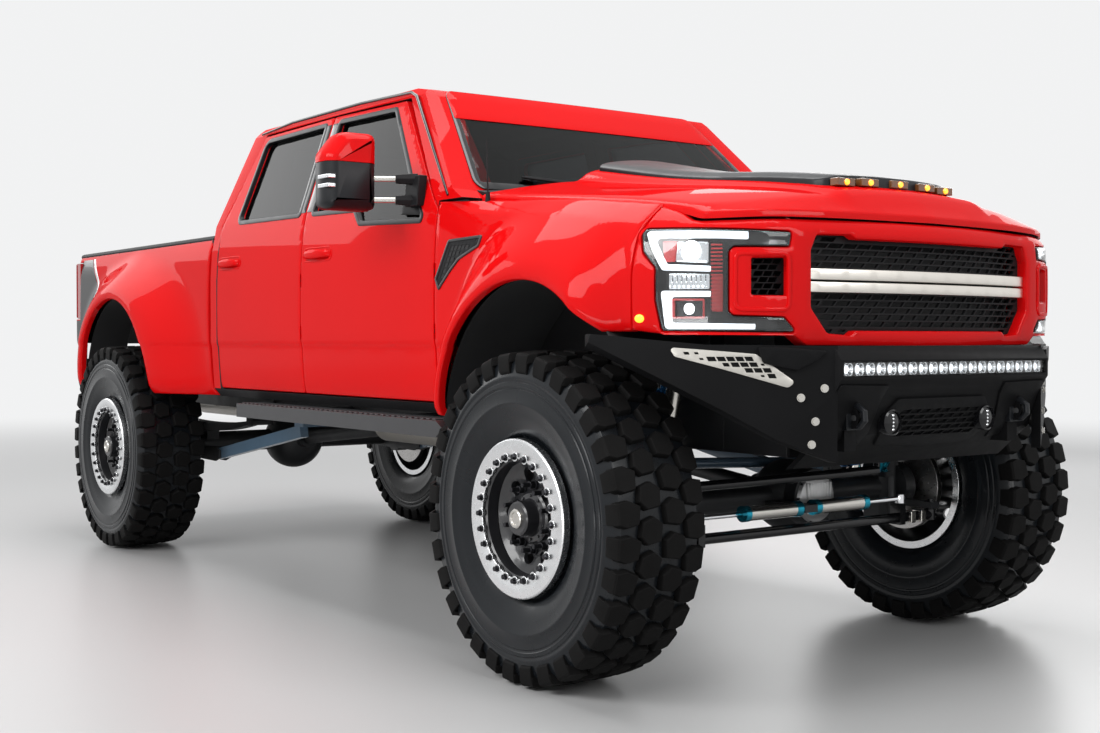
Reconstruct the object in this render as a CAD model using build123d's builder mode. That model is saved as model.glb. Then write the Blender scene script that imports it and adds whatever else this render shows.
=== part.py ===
from build123d import *
import math
import os

# A lifted four-door pickup truck. Millimetres, X forward, Y to the truck's left, Z up.
# The origin is on the floor, at the middle of the overall length.

# Wheels and axles
WHEELBASE = 4120
FRONT_AXLE_X = 2180
REAR_AXLE_X = FRONT_AXLE_X - WHEELBASE
TYRE_R = 580
TYRE_W = 372
WHEEL_Y = 1002
HUB_Z = TYRE_R
RIM_R = 254
RING_R = 277
SPINDLE_R = 44
RUNNING = 0.5
DISC_R = 190
KINGPIN_Y = 742
ARM = 220
TIE_Z = 479
DRAG_Z = 668
DAMPER_Z = 557
DAMPER_Y = 542
PITMAN_X = 2240
PITMAN_Y = 345

# Body: heights
ROCKER_Z = 900
SILL_Z = 946
FLOOR_Z = 975
CREASE_Z = 1170
BODY_MOUNTS = (-700, 300, 1250)
BELT_Z = 1785
ROOF_Z = 2345
RAIL_TOP_Z = ROOF_Z - 103
FIN_Z = ROOF_Z + 60

# Body: half widths
BODY_Y = 992
ROCKER_Y = 936
BELT_Y = 958
ROOF_RAIL_Y = 806
HOOD_Y = 880
DOOR_DEPTH = 100
PILLAR = 60
PANEL = 34
ROOF_SKIN = 32
GLASS = 6

# Body: stations along X
CAB_BACK_X = -880
FIREWALL_X = 1500
DOOR_FRONT_X = 1338
DOOR_MID_X = 160
DOOR_BACK_X = -800
BED_FRONT_X = -912
BED_BACK_X = REAR_AXLE_X - 1035
BED_POST_X = BED_BACK_X - 75
NOSE_X = 3035
GAP = 6
LEAN = 0.20

# Wheel arches and their wide flares
FRONT_ARCH_X = FRONT_AXLE_X - 76
FRONT_ARCH_Z = 845
FRONT_ARCH_R = 560
FRONT_FLARE_Y = 1138
REAR_ARCH_X = REAR_AXLE_X - 40
REAR_ARCH_Z = 860
REAR_ARCH_R = 570
REAR_FLARE_Y = 1160
FLARE_SPREAD = 165
LINER = 8

# Hood, with its raised centre
HOOD_BACK_X = 1512
HOOD_SKIN = 36
SCOOP_Y = 345
SCOOP_SKIN = 18

# Load bed
BED_RAIL_Z = 1735
BED_WALL = 130
BED_IN_Y = BODY_Y - BED_WALL
BED_FLOOR_Z = 1195
BED_SHEET = 24
TAILGATE_T = 72

# Hinge pins of the hood, of the tailgate and of the doors, and the doors' room to swing
HINGE_R = 8
DOOR_PIN_R = 4
DOOR_PIN_Z = (1230, 1470)
DOOR_PIN_HALF = 30
STRAP_HALF = 8
SWING = 16
HOOD_PIN_X = 1515
HOOD_PIN_Y = 320
HOOD_PIN_Z = 1830
GATE_PIN_X = BED_BACK_X - 10
GATE_PIN_Z = 1215

# Frame
RAIL_Y = 430
RAIL_W = 75
RAIL_H = 170
RAIL_Z = 880
RAIL_WALL = 8
RAIL_BACK_X = REAR_AXLE_X - 980
RAIL_FRONT_X = FRONT_AXLE_X + 590
RECEIVER = 63.5
RECEIVER_WALL = 8
RECEIVER_Z = 752
RECEIVER_END_X = RAIL_BACK_X - 150

# Bumpers
BUMPER_X = 3085
BUMPER_TOP_Z = 1176
BUMPER_Y = 547
BUMPER_PLATE = 26
WING_TIP_X = 2600
WING_TIP_Y = 1185
WING_TIP_Z = 1214
LAMP_BAR_Y = 532
LAMP_BAR_Z = 1100
LAMP_BAR_H = 47
REAR_BUMPER_X = BED_BACK_X - 110

SIDES = [("left", 1), ("right", -1)]
PARTS = "parts"
os.makedirs(PARTS, exist_ok=True)


def write(shape, name):
    """Labels one finished piece and writes it as its own file."""
    shape.label = name
    export_step(shape, f"{PARTS}/{name}.step")


def outline(plane, points, radius=0):
    """A closed outline of straight runs, its corners rounded."""
    with BuildSketch(plane) as sketch:
        with BuildLine():
            Polyline(*points, close=True)
        make_face()
        if radius:
            fillet(sketch.vertices(), radius)
    return sketch.sketch


def across(points, y0, y1, radius=0, mode=Mode.ADD):
    """A side outline of (x, z) carried across the truck from one Y to another."""
    return extrude(outline(Plane.XZ.offset(-y1), points, radius), amount=y1 - y0, mode=mode)


def along(points, x0, x1, radius=0, mode=Mode.ADD):
    """A cross section of (y, z) carried along the truck."""
    return extrude(outline(Plane.YZ.offset(x0), points, radius), amount=x1 - x0, mode=mode)


def upward(points, z0, z1, radius=0, mode=Mode.ADD):
    """A plan outline of (x, y) carried upward."""
    return extrude(outline(Plane.XY.offset(z0), points, radius), amount=z1 - z0, mode=mode)


def block(x0, x1, y0, y1, z0, z1, mode=Mode.ADD):
    """A box between two corners."""
    return upward([(x0, y0), (x1, y0), (x1, y1), (x0, y1)], z0, z1, mode=mode)


def bar(start, end, radius, bore=0, mode=Mode.ADD):
    """A straight round bar or tube between two points."""
    a = Vector(*start)
    b = Vector(*end)
    with BuildSketch(Plane(origin=a, z_dir=b - a)) as ring:
        Circle(radius)
        if bore:
            Circle(bore, mode=Mode.SUBTRACT)
    return extrude(ring.sketch, amount=(b - a).length, mode=mode)


def beam(start, end, width, height, mode=Mode.ADD):
    """A straight rectangular bar between two points, its height upright."""
    a = Vector(*start)
    b = Vector(*end)
    side = (b - a).cross(Vector(0, 0, 1)).normalized()
    with BuildSketch(Plane(origin=a, x_dir=side, z_dir=b - a)) as section:
        Rectangle(width, height)
    return extrude(section.sketch, amount=(b - a).length, mode=mode)


def turned(profile, x, z, mode=Mode.ADD):
    """A profile of (radius, y) turned about a cross axis at (x, z)."""
    with BuildSketch(Plane(origin=(x, 0, z))) as half:
        with BuildLine():
            Polyline(*profile, close=True)
        make_face()
    return revolve(half.sketch, Axis((x, 0, z), (0, 1, 0)), mode=mode)


def leaning(points, radius=0, mode=Mode.SUBTRACT):
    """A side outline cut inward through the left wall, leaning forward so that a door swings clear of it."""
    proud = 60
    face = outline(Plane.XZ.offset(-BODY_Y - proud), [(x - LEAN * proud, z) for x, z in points], radius)
    return extrude(face, amount=420, dir=(LEAN, -1, 0), mode=mode)


def inset(points, by):
    """An outline of (x, z) moved inward by the panel gap, or outward where it is negative."""
    with BuildSketch(Plane.XY) as sketch:
        with BuildLine():
            Polyline(*points, close=True)
        make_face()
        offset(amount=-by, kind=Kind.INTERSECTION)
    wire = sketch.sketch.faces()[0].outer_wire()
    return [((edge @ 0).X, (edge @ 0).Y) for edge in wire.order_edges()]


# The cab's cross section, from the sill to the roof, as (y, z)
SIDE_OUT = [
    (ROCKER_Y, ROCKER_Z),
    (BODY_Y - 20, ROCKER_Z + 42),
    (BODY_Y - 6, CREASE_Z - 12),
    (BODY_Y, CREASE_Z + 10),
    (BODY_Y, 1500),
    (BODY_Y - 8, 1640),
    (BELT_Y, BELT_Z),
    (ROOF_RAIL_Y, RAIL_TOP_Z),
]
ROOF_OUT = [(770, ROOF_Z - 61), (600, ROOF_Z - 29), (0, ROOF_Z)]
SIDE_IN = [
    (BODY_Y - DOOR_DEPTH, FLOOR_Z + PANEL),
    (BODY_Y - DOOR_DEPTH, 1640),
    (BELT_Y - PILLAR, BELT_Z),
    (ROOF_RAIL_Y - PILLAR, RAIL_TOP_Z - 16),
]
ROOF_IN = [(600, ROOF_Z - 29 - ROOF_SKIN), (0, ROOF_Z - ROOF_SKIN)]

# The cab from the side, as (x, z)
SCREEN_BASE = (1425, 1792)
SCREEN_TOP = (955, RAIL_TOP_Z + 20)
CAB_OUT = [
    (CAB_BACK_X, ROCKER_Z - 10),
    (CAB_BACK_X, BELT_Z),
    (-716, RAIL_TOP_Z + 20),
    (-630, ROOF_Z - 33),
    (-300, ROOF_Z),
    (300, ROOF_Z),
    (700, ROOF_Z - 27),
    SCREEN_TOP,
    SCREEN_BASE,
    (FIREWALL_X, 1752),
    (FIREWALL_X, ROCKER_Z - 10),
]
CAB_IN = [
    (CAB_BACK_X + PILLAR, FLOOR_Z + PANEL),
    (CAB_BACK_X + PILLAR, BELT_Z),
    (-655, RAIL_TOP_Z - 2),
    (-600, ROOF_Z - 65),
    (-290, ROOF_Z - ROOF_SKIN),
    (290, ROOF_Z - ROOF_SKIN),
    (690, ROOF_Z - 61),
    (930, RAIL_TOP_Z - 10),
    (1380, 1780),
    (FIREWALL_X - PANEL, 1724),
    (FIREWALL_X - PANEL, FLOOR_Z + PANEL),
]

# Doors and side windows, as (x, z)
FRONT_DOOR = [
    (DOOR_FRONT_X, SILL_Z),
    (DOOR_FRONT_X, 1716),
    (822, RAIL_TOP_Z - 10),
    (DOOR_MID_X + GAP / 2, RAIL_TOP_Z + 2),
    (DOOR_MID_X + GAP / 2, SILL_Z),
]
REAR_DOOR = [
    (DOOR_MID_X - GAP / 2, SILL_Z),
    (DOOR_MID_X - GAP / 2, RAIL_TOP_Z + 2),
    (-610, RAIL_TOP_Z - 6),
    (DOOR_BACK_X, 1760),
    (DOOR_BACK_X, SILL_Z),
]
PANE_TOP_Z = RAIL_TOP_Z - 36
FRONT_WINDOW = [
    (226, 1780), (640, 1770), (702, 1706), (1232, 1684), (752, PANE_TOP_Z - 10), (226, PANE_TOP_Z),
]
REAR_WINDOW = [(96, 1784), (96, PANE_TOP_Z), (-552, PANE_TOP_Z - 6), (-608, 1794)]
DOORS = [
    # name, outline, window
    ("front", FRONT_DOOR, FRONT_WINDOW),
    ("rear", REAR_DOOR, REAR_WINDOW),
]


def closed(half):
    """Half a cross section, from its bottom to its top, with its mirror image."""
    return half + [(-y, z) for y, z in reversed(half) if y > 0]


def door_hole(edge):
    """What a door's opening takes out of the cab's left side."""
    hole = leaning(inset(edge, -GAP), mode=Mode.PRIVATE)
    depth = [
        (BODY_Y + 20, ROCKER_Z),
        (BODY_Y + 20, RAIL_TOP_Z + 30),
        (ROOF_RAIL_Y - PILLAR - SWING, RAIL_TOP_Z + 30),
        (ROOF_RAIL_Y - PILLAR - SWING, RAIL_TOP_Z),
        (BELT_Y - PILLAR - SWING, BELT_Z),
        (BODY_Y - DOOR_DEPTH - SWING, 1640),
        (BODY_Y - DOOR_DEPTH - SWING, ROCKER_Z),
    ]
    return hole & along(depth, DOOR_BACK_X - 400, FIREWALL_X + 400, mode=Mode.PRIVATE)


DOOR_EDGES = [
    # station of the hinge, half width where its strap starts
    (DOOR_FRONT_X, HOOD_Y - 6),
    (DOOR_MID_X - GAP / 2, BODY_Y - DOOR_DEPTH - SWING - 6),
]


def strap(x, back, ahead, half, z, mode):
    """A leaning strip along a door's front edge: its hinge strap, or the notch round that."""
    return leaning([(x - back, z - half), (x + ahead, z - half), (x + ahead, z + half), (x - back, z + half)], mode=mode)


SCREEN_HOLE = [(-752, 1812), (752, 1812), (664, RAIL_TOP_Z - 16), (-664, RAIL_TOP_Z - 16)]
REAR_HOLE = [(-640, 1830), (640, 1830), (600, RAIL_TOP_Z - 46), (-600, RAIL_TOP_Z - 46)]

with BuildPart() as cab_shell:
    foot = [(BODY_Y - DOOR_DEPTH - PILLAR, FLOOR_Z), (BODY_Y - DOOR_DEPTH - PILLAR, ROCKER_Z)]
    along(closed(foot + SIDE_OUT + ROOF_OUT), CAB_BACK_X, FIREWALL_X)
    across(CAB_OUT, -BODY_Y, BODY_Y, mode=Mode.INTERSECT)
    room = along(closed(SIDE_IN + ROOF_IN), CAB_BACK_X, FIREWALL_X, mode=Mode.PRIVATE)
    add(across(CAB_IN, -BODY_Y, BODY_Y, mode=Mode.PRIVATE) & room, mode=Mode.SUBTRACT)
    along(SCREEN_HOLE, SCREEN_TOP[0] - 200, FIREWALL_X + 10, mode=Mode.SUBTRACT)
    along(REAR_HOLE, CAB_BACK_X - 10, CAB_BACK_X + 300, mode=Mode.SUBTRACT)
    for name, edge, window in DOORS:
        hole = door_hole(edge)
        add(hole, mode=Mode.SUBTRACT)
        mirror(hole, about=Plane.XZ, mode=Mode.SUBTRACT)
    # The post between the doors, which they both close against
    hinges = []
    post = along(
        [(BODY_Y - DOOR_DEPTH - PILLAR, FLOOR_Z), (BODY_Y - DOOR_DEPTH - SWING, FLOOR_Z),
         (BODY_Y - DOOR_DEPTH - SWING, 1640), (BELT_Y - PILLAR - SWING, BELT_Z),
         (ROOF_RAIL_Y - PILLAR - SWING, RAIL_TOP_Z), (ROOF_RAIL_Y - 2 * PILLAR, RAIL_TOP_Z + 16),
         (BELT_Y - 2 * PILLAR, BELT_Z), (BODY_Y - DOOR_DEPTH - PILLAR, 1640)],
        DOOR_MID_X - 45,
        DOOR_MID_X + 45,
    )
    mirror(post, about=Plane.XZ)
    across([(100, ROOF_Z - 6), (130, ROOF_Z + 40), (178, FIN_Z), (196, FIN_Z), (230, ROOF_Z + 12), (236, ROOF_Z - 6)], -16, 16)
    for x, inner in DOOR_EDGES:
        for z in DOOR_PIN_Z:
            arm = strap(x, 10, 1, STRAP_HALF, z, Mode.PRIVATE)
            arm = arm & block(x - 100, x + 100, inner, BODY_Y - 2, z - 50, z + 50, mode=Mode.PRIVATE)
            pin = bar((x, BODY_Y, z - DOOR_PIN_HALF), (x, BODY_Y, z + DOOR_PIN_HALF), DOOR_PIN_R, mode=Mode.PRIVATE)
            hinges.append(arm + pin)
    # Beside the cowl the fenders take over from the cab's sides
    cowl = block(DOOR_FRONT_X + 1, FIREWALL_X + 10, HOOD_Y, BODY_Y + 10, ROCKER_Z - 10, 1751, mode=Mode.PRIVATE)
    add(cowl, mode=Mode.SUBTRACT)
    mirror(cowl, about=Plane.XZ, mode=Mode.SUBTRACT)
    # Kick panels, body mounts on the frame, and the hood's hinge brackets with their pins
    kick = block(1300, FIREWALL_X, HOOD_Y - 8, HOOD_Y, FLOOR_Z, 1720)
    mirror(kick, about=Plane.XZ)
    for hinge in hinges:
        add(hinge)
        mirror(hinge, about=Plane.XZ)
    for x in BODY_MOUNTS:
        for sign in (1, -1):
            block(x - 45, x + 45, sign * RAIL_Y - 30, sign * RAIL_Y + 30, RAIL_Z + RAIL_H / 2, FLOOR_Z)
    for sign in (1, -1):
        across(
            [(1460, 1750), (FIREWALL_X, 1750), (HOOD_PIN_X + 12, HOOD_PIN_Z - 12), (HOOD_PIN_X + 12, HOOD_PIN_Z + 8),
             (HOOD_PIN_X - 12, HOOD_PIN_Z + 8)],
            sign * HOOD_PIN_Y - 6, sign * HOOD_PIN_Y + 6,
        )
        bar((HOOD_PIN_X, sign * HOOD_PIN_Y - 30, HOOD_PIN_Z), (HOOD_PIN_X, sign * HOOD_PIN_Y + 30, HOOD_PIN_Z), HINGE_R)
write(cab_shell.part, "cab_shell")

SLAB_SLOPE = (ROOF_RAIL_Y - BELT_Y) / (RAIL_TOP_Z - BELT_Z)


def glass_slab(low, high, deep):
    """A cross section of flat side glass, a little inside the outer skin, as (y, z)."""
    base = BELT_Y + (low - BELT_Z) * SLAB_SLOPE
    top = BELT_Y + (high - BELT_Z) * SLAB_SLOPE
    return [(base - deep, low), (top - deep, high), (top - deep - GLASS, high), (base - deep - GLASS, low)]


for place, edge, window in DOORS:
    with BuildPart() as door:
        along(SIDE_OUT + list(reversed(SIDE_IN[1:])) + [(BODY_Y - DOOR_DEPTH, ROCKER_Z)], DOOR_BACK_X - 200, FIREWALL_X)
        leaning(edge, mode=Mode.INTERSECT)
        across(window, 700, BODY_Y + 20, mode=Mode.SUBTRACT)
        pin_x = edge[0][0]
        for z in DOOR_PIN_Z:
            strap(pin_x, 14, 30, STRAP_HALF + 4, z, Mode.SUBTRACT)
            low, high = z - DOOR_PIN_HALF - 1, z + DOOR_PIN_HALF + 1
            bar((pin_x, BODY_Y, low), (pin_x, BODY_Y, high), DOOR_PIN_R + RUNNING, mode=Mode.SUBTRACT)
    with BuildPart() as pane:
        along(glass_slab(1600, 2260, 22), DOOR_BACK_X - 200, FIREWALL_X)
        across(window, 700, BODY_Y + 20, mode=Mode.INTERSECT)
    for side, sign in SIDES:
        with BuildPart() as door_side:
            add(door.part) if sign > 0 else mirror(door.part, about=Plane.XZ)
        write(door_side.part, f"door_{place}_{side}")
        with BuildPart() as pane_side:
            add(pane.part) if sign > 0 else mirror(pane.part, about=Plane.XZ)
        write(pane_side.part, f"door_glass_{place}_{side}")

with BuildPart() as cab_glass:
    across(
        [SCREEN_BASE, SCREEN_TOP, (SCREEN_TOP[0] - 2 * GLASS, SCREEN_TOP[1]), (SCREEN_BASE[0] - 2 * GLASS, SCREEN_BASE[1])],
        -BODY_Y, BODY_Y,
    )
    along(SCREEN_HOLE, 700, FIREWALL_X, mode=Mode.INTERSECT)
    back = across(
        [(CAB_BACK_X + 22, BELT_Z), (-694, RAIL_TOP_Z + 20), (-686, RAIL_TOP_Z + 20), (CAB_BACK_X + 30, BELT_Z)], -BODY_Y, BODY_Y,
        mode=Mode.PRIVATE,
    )
    add(back & along(REAR_HOLE, CAB_BACK_X, 0, mode=Mode.PRIVATE))
write(cab_glass.part, "cab_glass")

# Inside the cab
DASH_BACK_X = 1150
COLUMN_LEAN = math.radians(25)
COLUMN_R = 12
WHEEL_HUB = Vector(985, 430, 1600)
FACING = Vector(-math.cos(COLUMN_LEAN), 0, math.sin(COLUMN_LEAN))
with BuildPart() as dashboard:
    across(
        [(DASH_BACK_X, 1430), (DASH_BACK_X - 18, 1640), (DASH_BACK_X + 60, 1716), (FIREWALL_X - PANEL, 1716),
         (FIREWALL_X - PANEL, 1330), (DASH_BACK_X + 130, 1360)],
        -BODY_Y + DOOR_DEPTH + 20, BODY_Y - DOOR_DEPTH - 20,
    )
    across(
        [(560, FLOOR_Z + PANEL), (560, 1250), (1100, 1290), (1190, 1450), (1330, 1450), (1330, FLOOR_Z + PANEL)],
        -150, 150,
    )
    bar(WHEEL_HUB - FACING * 20, WHEEL_HUB - FACING * 200, 38)
    bar(WHEEL_HUB - FACING * 10, WHEEL_HUB - FACING * 92, COLUMN_R + RUNNING, mode=Mode.SUBTRACT)
write(dashboard.part, "dashboard")

SEAT_BACK_LEAN = 130
SEATS = [
    # station of the back's foot, inner edge and outer edge of the left half
    (350, 165, 695),
    (-560, 0, 720),
]
with BuildPart() as seats:
    for x, inner, outer in SEATS:
        across(
            [(x, FLOOR_Z + PANEL), (x + 470, FLOOR_Z + PANEL), (x + 520, 1360), (x + 130, 1350),
             (x + 130 - SEAT_BACK_LEAN, 1930), (x - SEAT_BACK_LEAN, 1930), (x - 10, 1320)],
            inner, outer, radius=18,
        )
    mirror(about=Plane.XZ)
write(seats.part, "seats")

# Front fenders: the wall from the door to the lamp, with the wide flare over the arch
FENDER = [
    # station, height of the crease, half width at the top edge, height there
    (DOOR_FRONT_X + GAP, 1706, HOOD_Y + GAP, 1748),
    (2250, 1624, HOOD_Y + GAP, 1690),
    (2604, 1562, HOOD_Y + GAP, 1648),
]


def fender_section(x, crease, top_y, top_z, skin):
    """The fender's section at one station: sill, side, crease and the shelf beside the hood."""
    return [
        (BODY_Y - 26 - skin, ROCKER_Z + 5),
        (BODY_Y - 26, ROCKER_Z + 5),
        (BODY_Y, CREASE_Z),
        (BODY_Y, crease - 190),
        (BODY_Y - 22, crease - 30),
        (BODY_Y - 42, crease),
        (top_y, top_z),
        (top_y, top_z - skin),
        (BODY_Y - 42 - skin, crease - skin),
        (BODY_Y - skin, crease - 190),
        (BODY_Y - skin, CREASE_Z),
    ]


def flare_profile(radius, lip_y):
    """The flare's section as (radius, y): lip, roll, and the long sweep back into the body side."""
    return [
        (radius, BODY_Y - 60),
        (radius, lip_y - 10),
        (radius + 12, lip_y),
        (radius + 40, lip_y - 8),
        (radius + 90, lip_y - 50),
        (radius + 130, BODY_Y + 32),
        (radius + FLARE_SPREAD, BODY_Y - 6),
        (radius + FLARE_SPREAD, BODY_Y - 60),
    ]


def arch_cut(x, z, radius, mode=Mode.SUBTRACT):
    """The wheel's opening through a body side."""
    with BuildSketch(Plane.XZ.offset(-1300)) as hole:
        with Locations((x, z)):
            Circle(radius)
    return extrude(hole.sketch, amount=700, mode=mode)


LINER_IN_Y = 672
with BuildPart() as front_fenders:
    for start, end in zip(FENDER, FENDER[1:]):
        sections = [outline(Plane.YZ.offset(row[0]), fender_section(*row, PANEL)) for row in (start, end)]
        loft(sections, ruled=True)
    arch_cut(FRONT_ARCH_X, FRONT_ARCH_Z, FRONT_ARCH_R)
    flare = turned(flare_profile(FRONT_ARCH_R, FRONT_FLARE_Y), FRONT_ARCH_X, FRONT_ARCH_Z, mode=Mode.PRIVATE)
    keep = across(
        [(DOOR_FRONT_X + GAP, ROCKER_Z + 5), (DOOR_FRONT_X + GAP, 1700), (2604, 1562), (2640, 1222),
         (2580, 1222), (2400, 1100), (2300, ROCKER_Z + 5)],
        800, 1300, mode=Mode.PRIVATE,
    )
    add(flare & keep)
    liner = turned(
        [(FRONT_ARCH_R, LINER_IN_Y), (FRONT_ARCH_R + LINER, LINER_IN_Y), (FRONT_ARCH_R + LINER, BODY_Y - 20),
         (FRONT_ARCH_R, BODY_Y - 20)],
        FRONT_ARCH_X, FRONT_ARCH_Z, mode=Mode.PRIVATE,
    )
    add(liner & block(FIREWALL_X + 20, 2560, 600, 1000, 1190, 1500, mode=Mode.PRIVATE))
    # Room for the door's edge, the lamp, and the bumper below it
    leaning(inset(FRONT_DOOR, -GAP))
    block(1420, 1480, HOOD_Y, BODY_Y - PANEL + 4, 1300, 1320)
    upward([(2606, 1300), (2606, 1028), (2560, 934), (2560, 800), (2900, 800), (2900, 1300)], 1100, 1582, mode=Mode.SUBTRACT)
    across([(2400, 800), (2800, 800), (2800, 1222), (2560, 1222)], 800, 1300, mode=Mode.SUBTRACT)
    mirror(about=Plane.XZ)
write(front_fenders.part, "front_fenders")

# Hood: its sections carry a raised centre panel, and its front edge follows the nose
HOOD = [
    # station, height at the side edge, foot of the raised centre, its edge, the middle
    (HOOD_BACK_X, 1768, 1846, 1892, 1936),
    (2000, 1722, 1790, 1820, 1842),
    (2610, 1660, 1728, 1752, 1768),
    (2890, 1618, 1682, 1704, 1718),
    (3012, 1566, 1618, 1626, 1634),
]


def hood_section(side, foot, edge, middle):
    """Half the hood's top line, from its side edge to the middle, as (y, z)."""
    return [(HOOD_Y, side), (660, (side + foot) / 2 + 12), (SCOOP_Y + 70, foot), (SCOOP_Y, edge), (0, middle)]


with BuildPart() as hood:
    for start, end in zip(HOOD, HOOD[1:]):
        sections = []
        for x, *heights in (start, end):
            top = hood_section(*heights)
            low = [(y, z - HOOD_SKIN) for y, z in top]
            whole = closed(top) + [(-y, z) for y, z in low] + list(reversed(low))[1:]
            sections.append(outline(Plane.YZ.offset(x), whole))
        loft(sections, ruled=True)
    with BuildSketch(Plane.XY.offset(1400)) as lip:
        with BuildLine():
            nose = ThreePointArc((2996, -400), (3012, 0), (2996, 400))
            left = ThreePointArc(nose @ 1, (2950, 660), (2812, HOOD_Y + 4))
            right = ThreePointArc(nose @ 0, (2950, -660), (2812, -HOOD_Y - 4))
            Polyline(left @ 1, (1000, HOOD_Y + 4), (1000, -HOOD_Y - 4), right @ 1)
        make_face()
    extrude(lip.sketch, amount=700, mode=Mode.INTERSECT)
    # Hinge eyes round the pins
    for sign in (1, -1):
        near = sign * (HOOD_PIN_Y + 18)
        block(HOOD_PIN_X - 14, HOOD_PIN_X + 14, near - 6, near + 6, HOOD_PIN_Z - 14, HOOD_PIN_Z + 40)
        bar((HOOD_PIN_X, near - 8, HOOD_PIN_Z), (HOOD_PIN_X, near + 8, HOOD_PIN_Z), HINGE_R + RUNNING, mode=Mode.SUBTRACT)
write(hood.part, "hood")

with BuildPart() as hood_scoop:
    for start, end in zip(HOOD[:4], HOOD[1:4]):
        sections = []
        for x, side, foot, edge, middle in (start, end):
            top = [(SCOOP_Y, edge), (0, middle), (-SCOOP_Y, edge)]
            sections.append(outline(Plane.YZ.offset(x), top + [(y, z + SCOOP_SKIN) for y, z in reversed(top)]))
        loft(sections, ruled=True)
write(hood_scoop.part, "hood_scoop")

# The nose: one wall that follows the front's plan, shared by grille surround and lamps
NOSE_DEPTH = 150
NOSE_LOW_Z = 1182
LAMP = [
    (622, 1552), (1012, 1556), (1036, 1490), (962, 1226), (640, 1222), (628, 1262), (868, 1290), (905, 1478), (622, 1500),
]
GRILLE_HALF = [(0, 1211), (523, 1211), (563, 1300), (566, 1460), (523, 1546), (0, 1546)]
INLET = [(652, 1340), (800, 1340), (812, 1452), (652, 1452)]


def nose_wall(front, depth, low, high, mode=Mode.ADD):
    """The nose's plan band, from one height to another; front sets it back from the outer skin."""
    with BuildSketch(Plane.XY.offset(low)) as band:
        with BuildLine():
            outer = ThreePointArc((2980 - front, -565), (NOSE_X - front, 0), (2980 - front, 565))
            side_l = ThreePointArc(outer @ 1, (2866 - front, 850), (2612 - front * 0.3, 1028 - front * 0.6))
            side_r = ThreePointArc(outer @ 0, (2866 - front, -850), (2612 - front * 0.3, -1028 + front * 0.6))
            back = depth + front
            inner = ThreePointArc((2980 - back, -565), (NOSE_X - back, 0), (2980 - back, 565))
            in_l = ThreePointArc(inner @ 1, (2866 - back, 830), (2612 - back * 0.3, 1028 - back * 0.6))
            in_r = ThreePointArc(inner @ 0, (2866 - back, -830), (2612 - back * 0.3, -1028 + back * 0.6))
            Line(side_l @ 1, in_l @ 1)
            Line(side_r @ 1, in_r @ 1)
        make_face()
    return extrude(band.sketch, amount=high - low, mode=mode)


LAMP_RIM = 9
PROJECTOR = (938, 1430)
PROJECTOR_R = 27
with BuildPart() as headlamps:
    nose_wall(0, NOSE_DEPTH, NOSE_LOW_Z, 1600)
    along(LAMP, 2400, 3100, mode=Mode.INTERSECT)
    with BuildPart(mode=Mode.PRIVATE) as recess:
        nose_wall(-40, 70, NOSE_LOW_Z, 1600)
        along(inset(LAMP, LAMP_RIM), 2400, 3100, mode=Mode.INTERSECT)
    add(recess.part, mode=Mode.SUBTRACT)
    bar((2700, *PROJECTOR), (2766, *PROJECTOR), PROJECTOR_R)
    mirror(about=Plane.XZ)
write(headlamps.part, "headlamps")

with BuildPart() as grille_shell:
    nose_wall(0, NOSE_DEPTH, NOSE_LOW_Z, 1600)
    along(
        closed([(0, NOSE_LOW_Z), (880, NOSE_LOW_Z + 6), (960, 1216), (1036, 1490), (1010, 1560), (880, 1580), (400, 1578), (0, 1590)]),
        2400, 3100, mode=Mode.INTERSECT,
    )
    lamp_hole = along(LAMP, 2400, 3100, mode=Mode.PRIVATE)
    add(lamp_hole, mode=Mode.SUBTRACT)
    mirror(lamp_hole, about=Plane.XZ, mode=Mode.SUBTRACT)
    inlet = along(INLET, 2400, 3100, mode=Mode.PRIVATE)
    add(inlet, mode=Mode.SUBTRACT)
    mirror(inlet, about=Plane.XZ, mode=Mode.SUBTRACT)
    along(closed(GRILLE_HALF), 2400, 3100, mode=Mode.SUBTRACT)
    for sign in (1, -1):
        block(2760, 2900, sign * 585 - 15, sign * 585 + 15, 1300, 1330)
write(grille_shell.part, "grille_shell")

MESH_PITCH = 52
MESH_HIGH = 15
MESH_COUNT = 9
MESH_ROWS = (1222, 1247, 1272, 1297, 1322, 1440, 1465, 1490, 1515)
with BuildPart() as grille_mesh:
    band = nose_wall(46, 14, 1190, 1560, mode=Mode.PRIVATE)
    add(band & along(closed(GRILLE_HALF), 2400, 3100, mode=Mode.PRIVATE))
    for half in (INLET, [(-y, z) for y, z in INLET]):
        add(band & along(half, 2400, 3100, mode=Mode.PRIVATE))
    # Slanted openings, row by row, each row half an opening aside
    with BuildSketch(Plane.YZ.offset(2900)) as bricks:
        for row, low in enumerate(MESH_ROWS):
            for step in range(-MESH_COUNT, MESH_COUNT + 1):
                y = (step + row % 2 / 2) * MESH_PITCH
                with BuildLine():
                    Polyline((y - 20, low), (y + 16, low), (y + 20, low + MESH_HIGH), (y - 16, low + MESH_HIGH), close=True)
                make_face()
    extrude(bricks.sketch, amount=150, mode=Mode.SUBTRACT)
write(grille_mesh.part, "grille_mesh")

with BuildPart() as grille_bars:
    nose_wall(18, 28, 1352, 1427)
    block(2400, 3100, -562, 562, 1352, 1427, mode=Mode.INTERSECT)
    block(2400, 3100, -564, 564, 1386, 1393, mode=Mode.SUBTRACT)
write(grille_bars.part, "grille_bars")

with BuildPart() as radiator:
    block(2690, 2760, -520, 520, 1040, 1560)
    block(2700, 2760, -600, 600, 1290, 1340)
    for y in (-300, 300):
        block(2690, 2740, y - 20, y + 20, 905, 1040)
write(radiator.part, "radiator")

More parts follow.
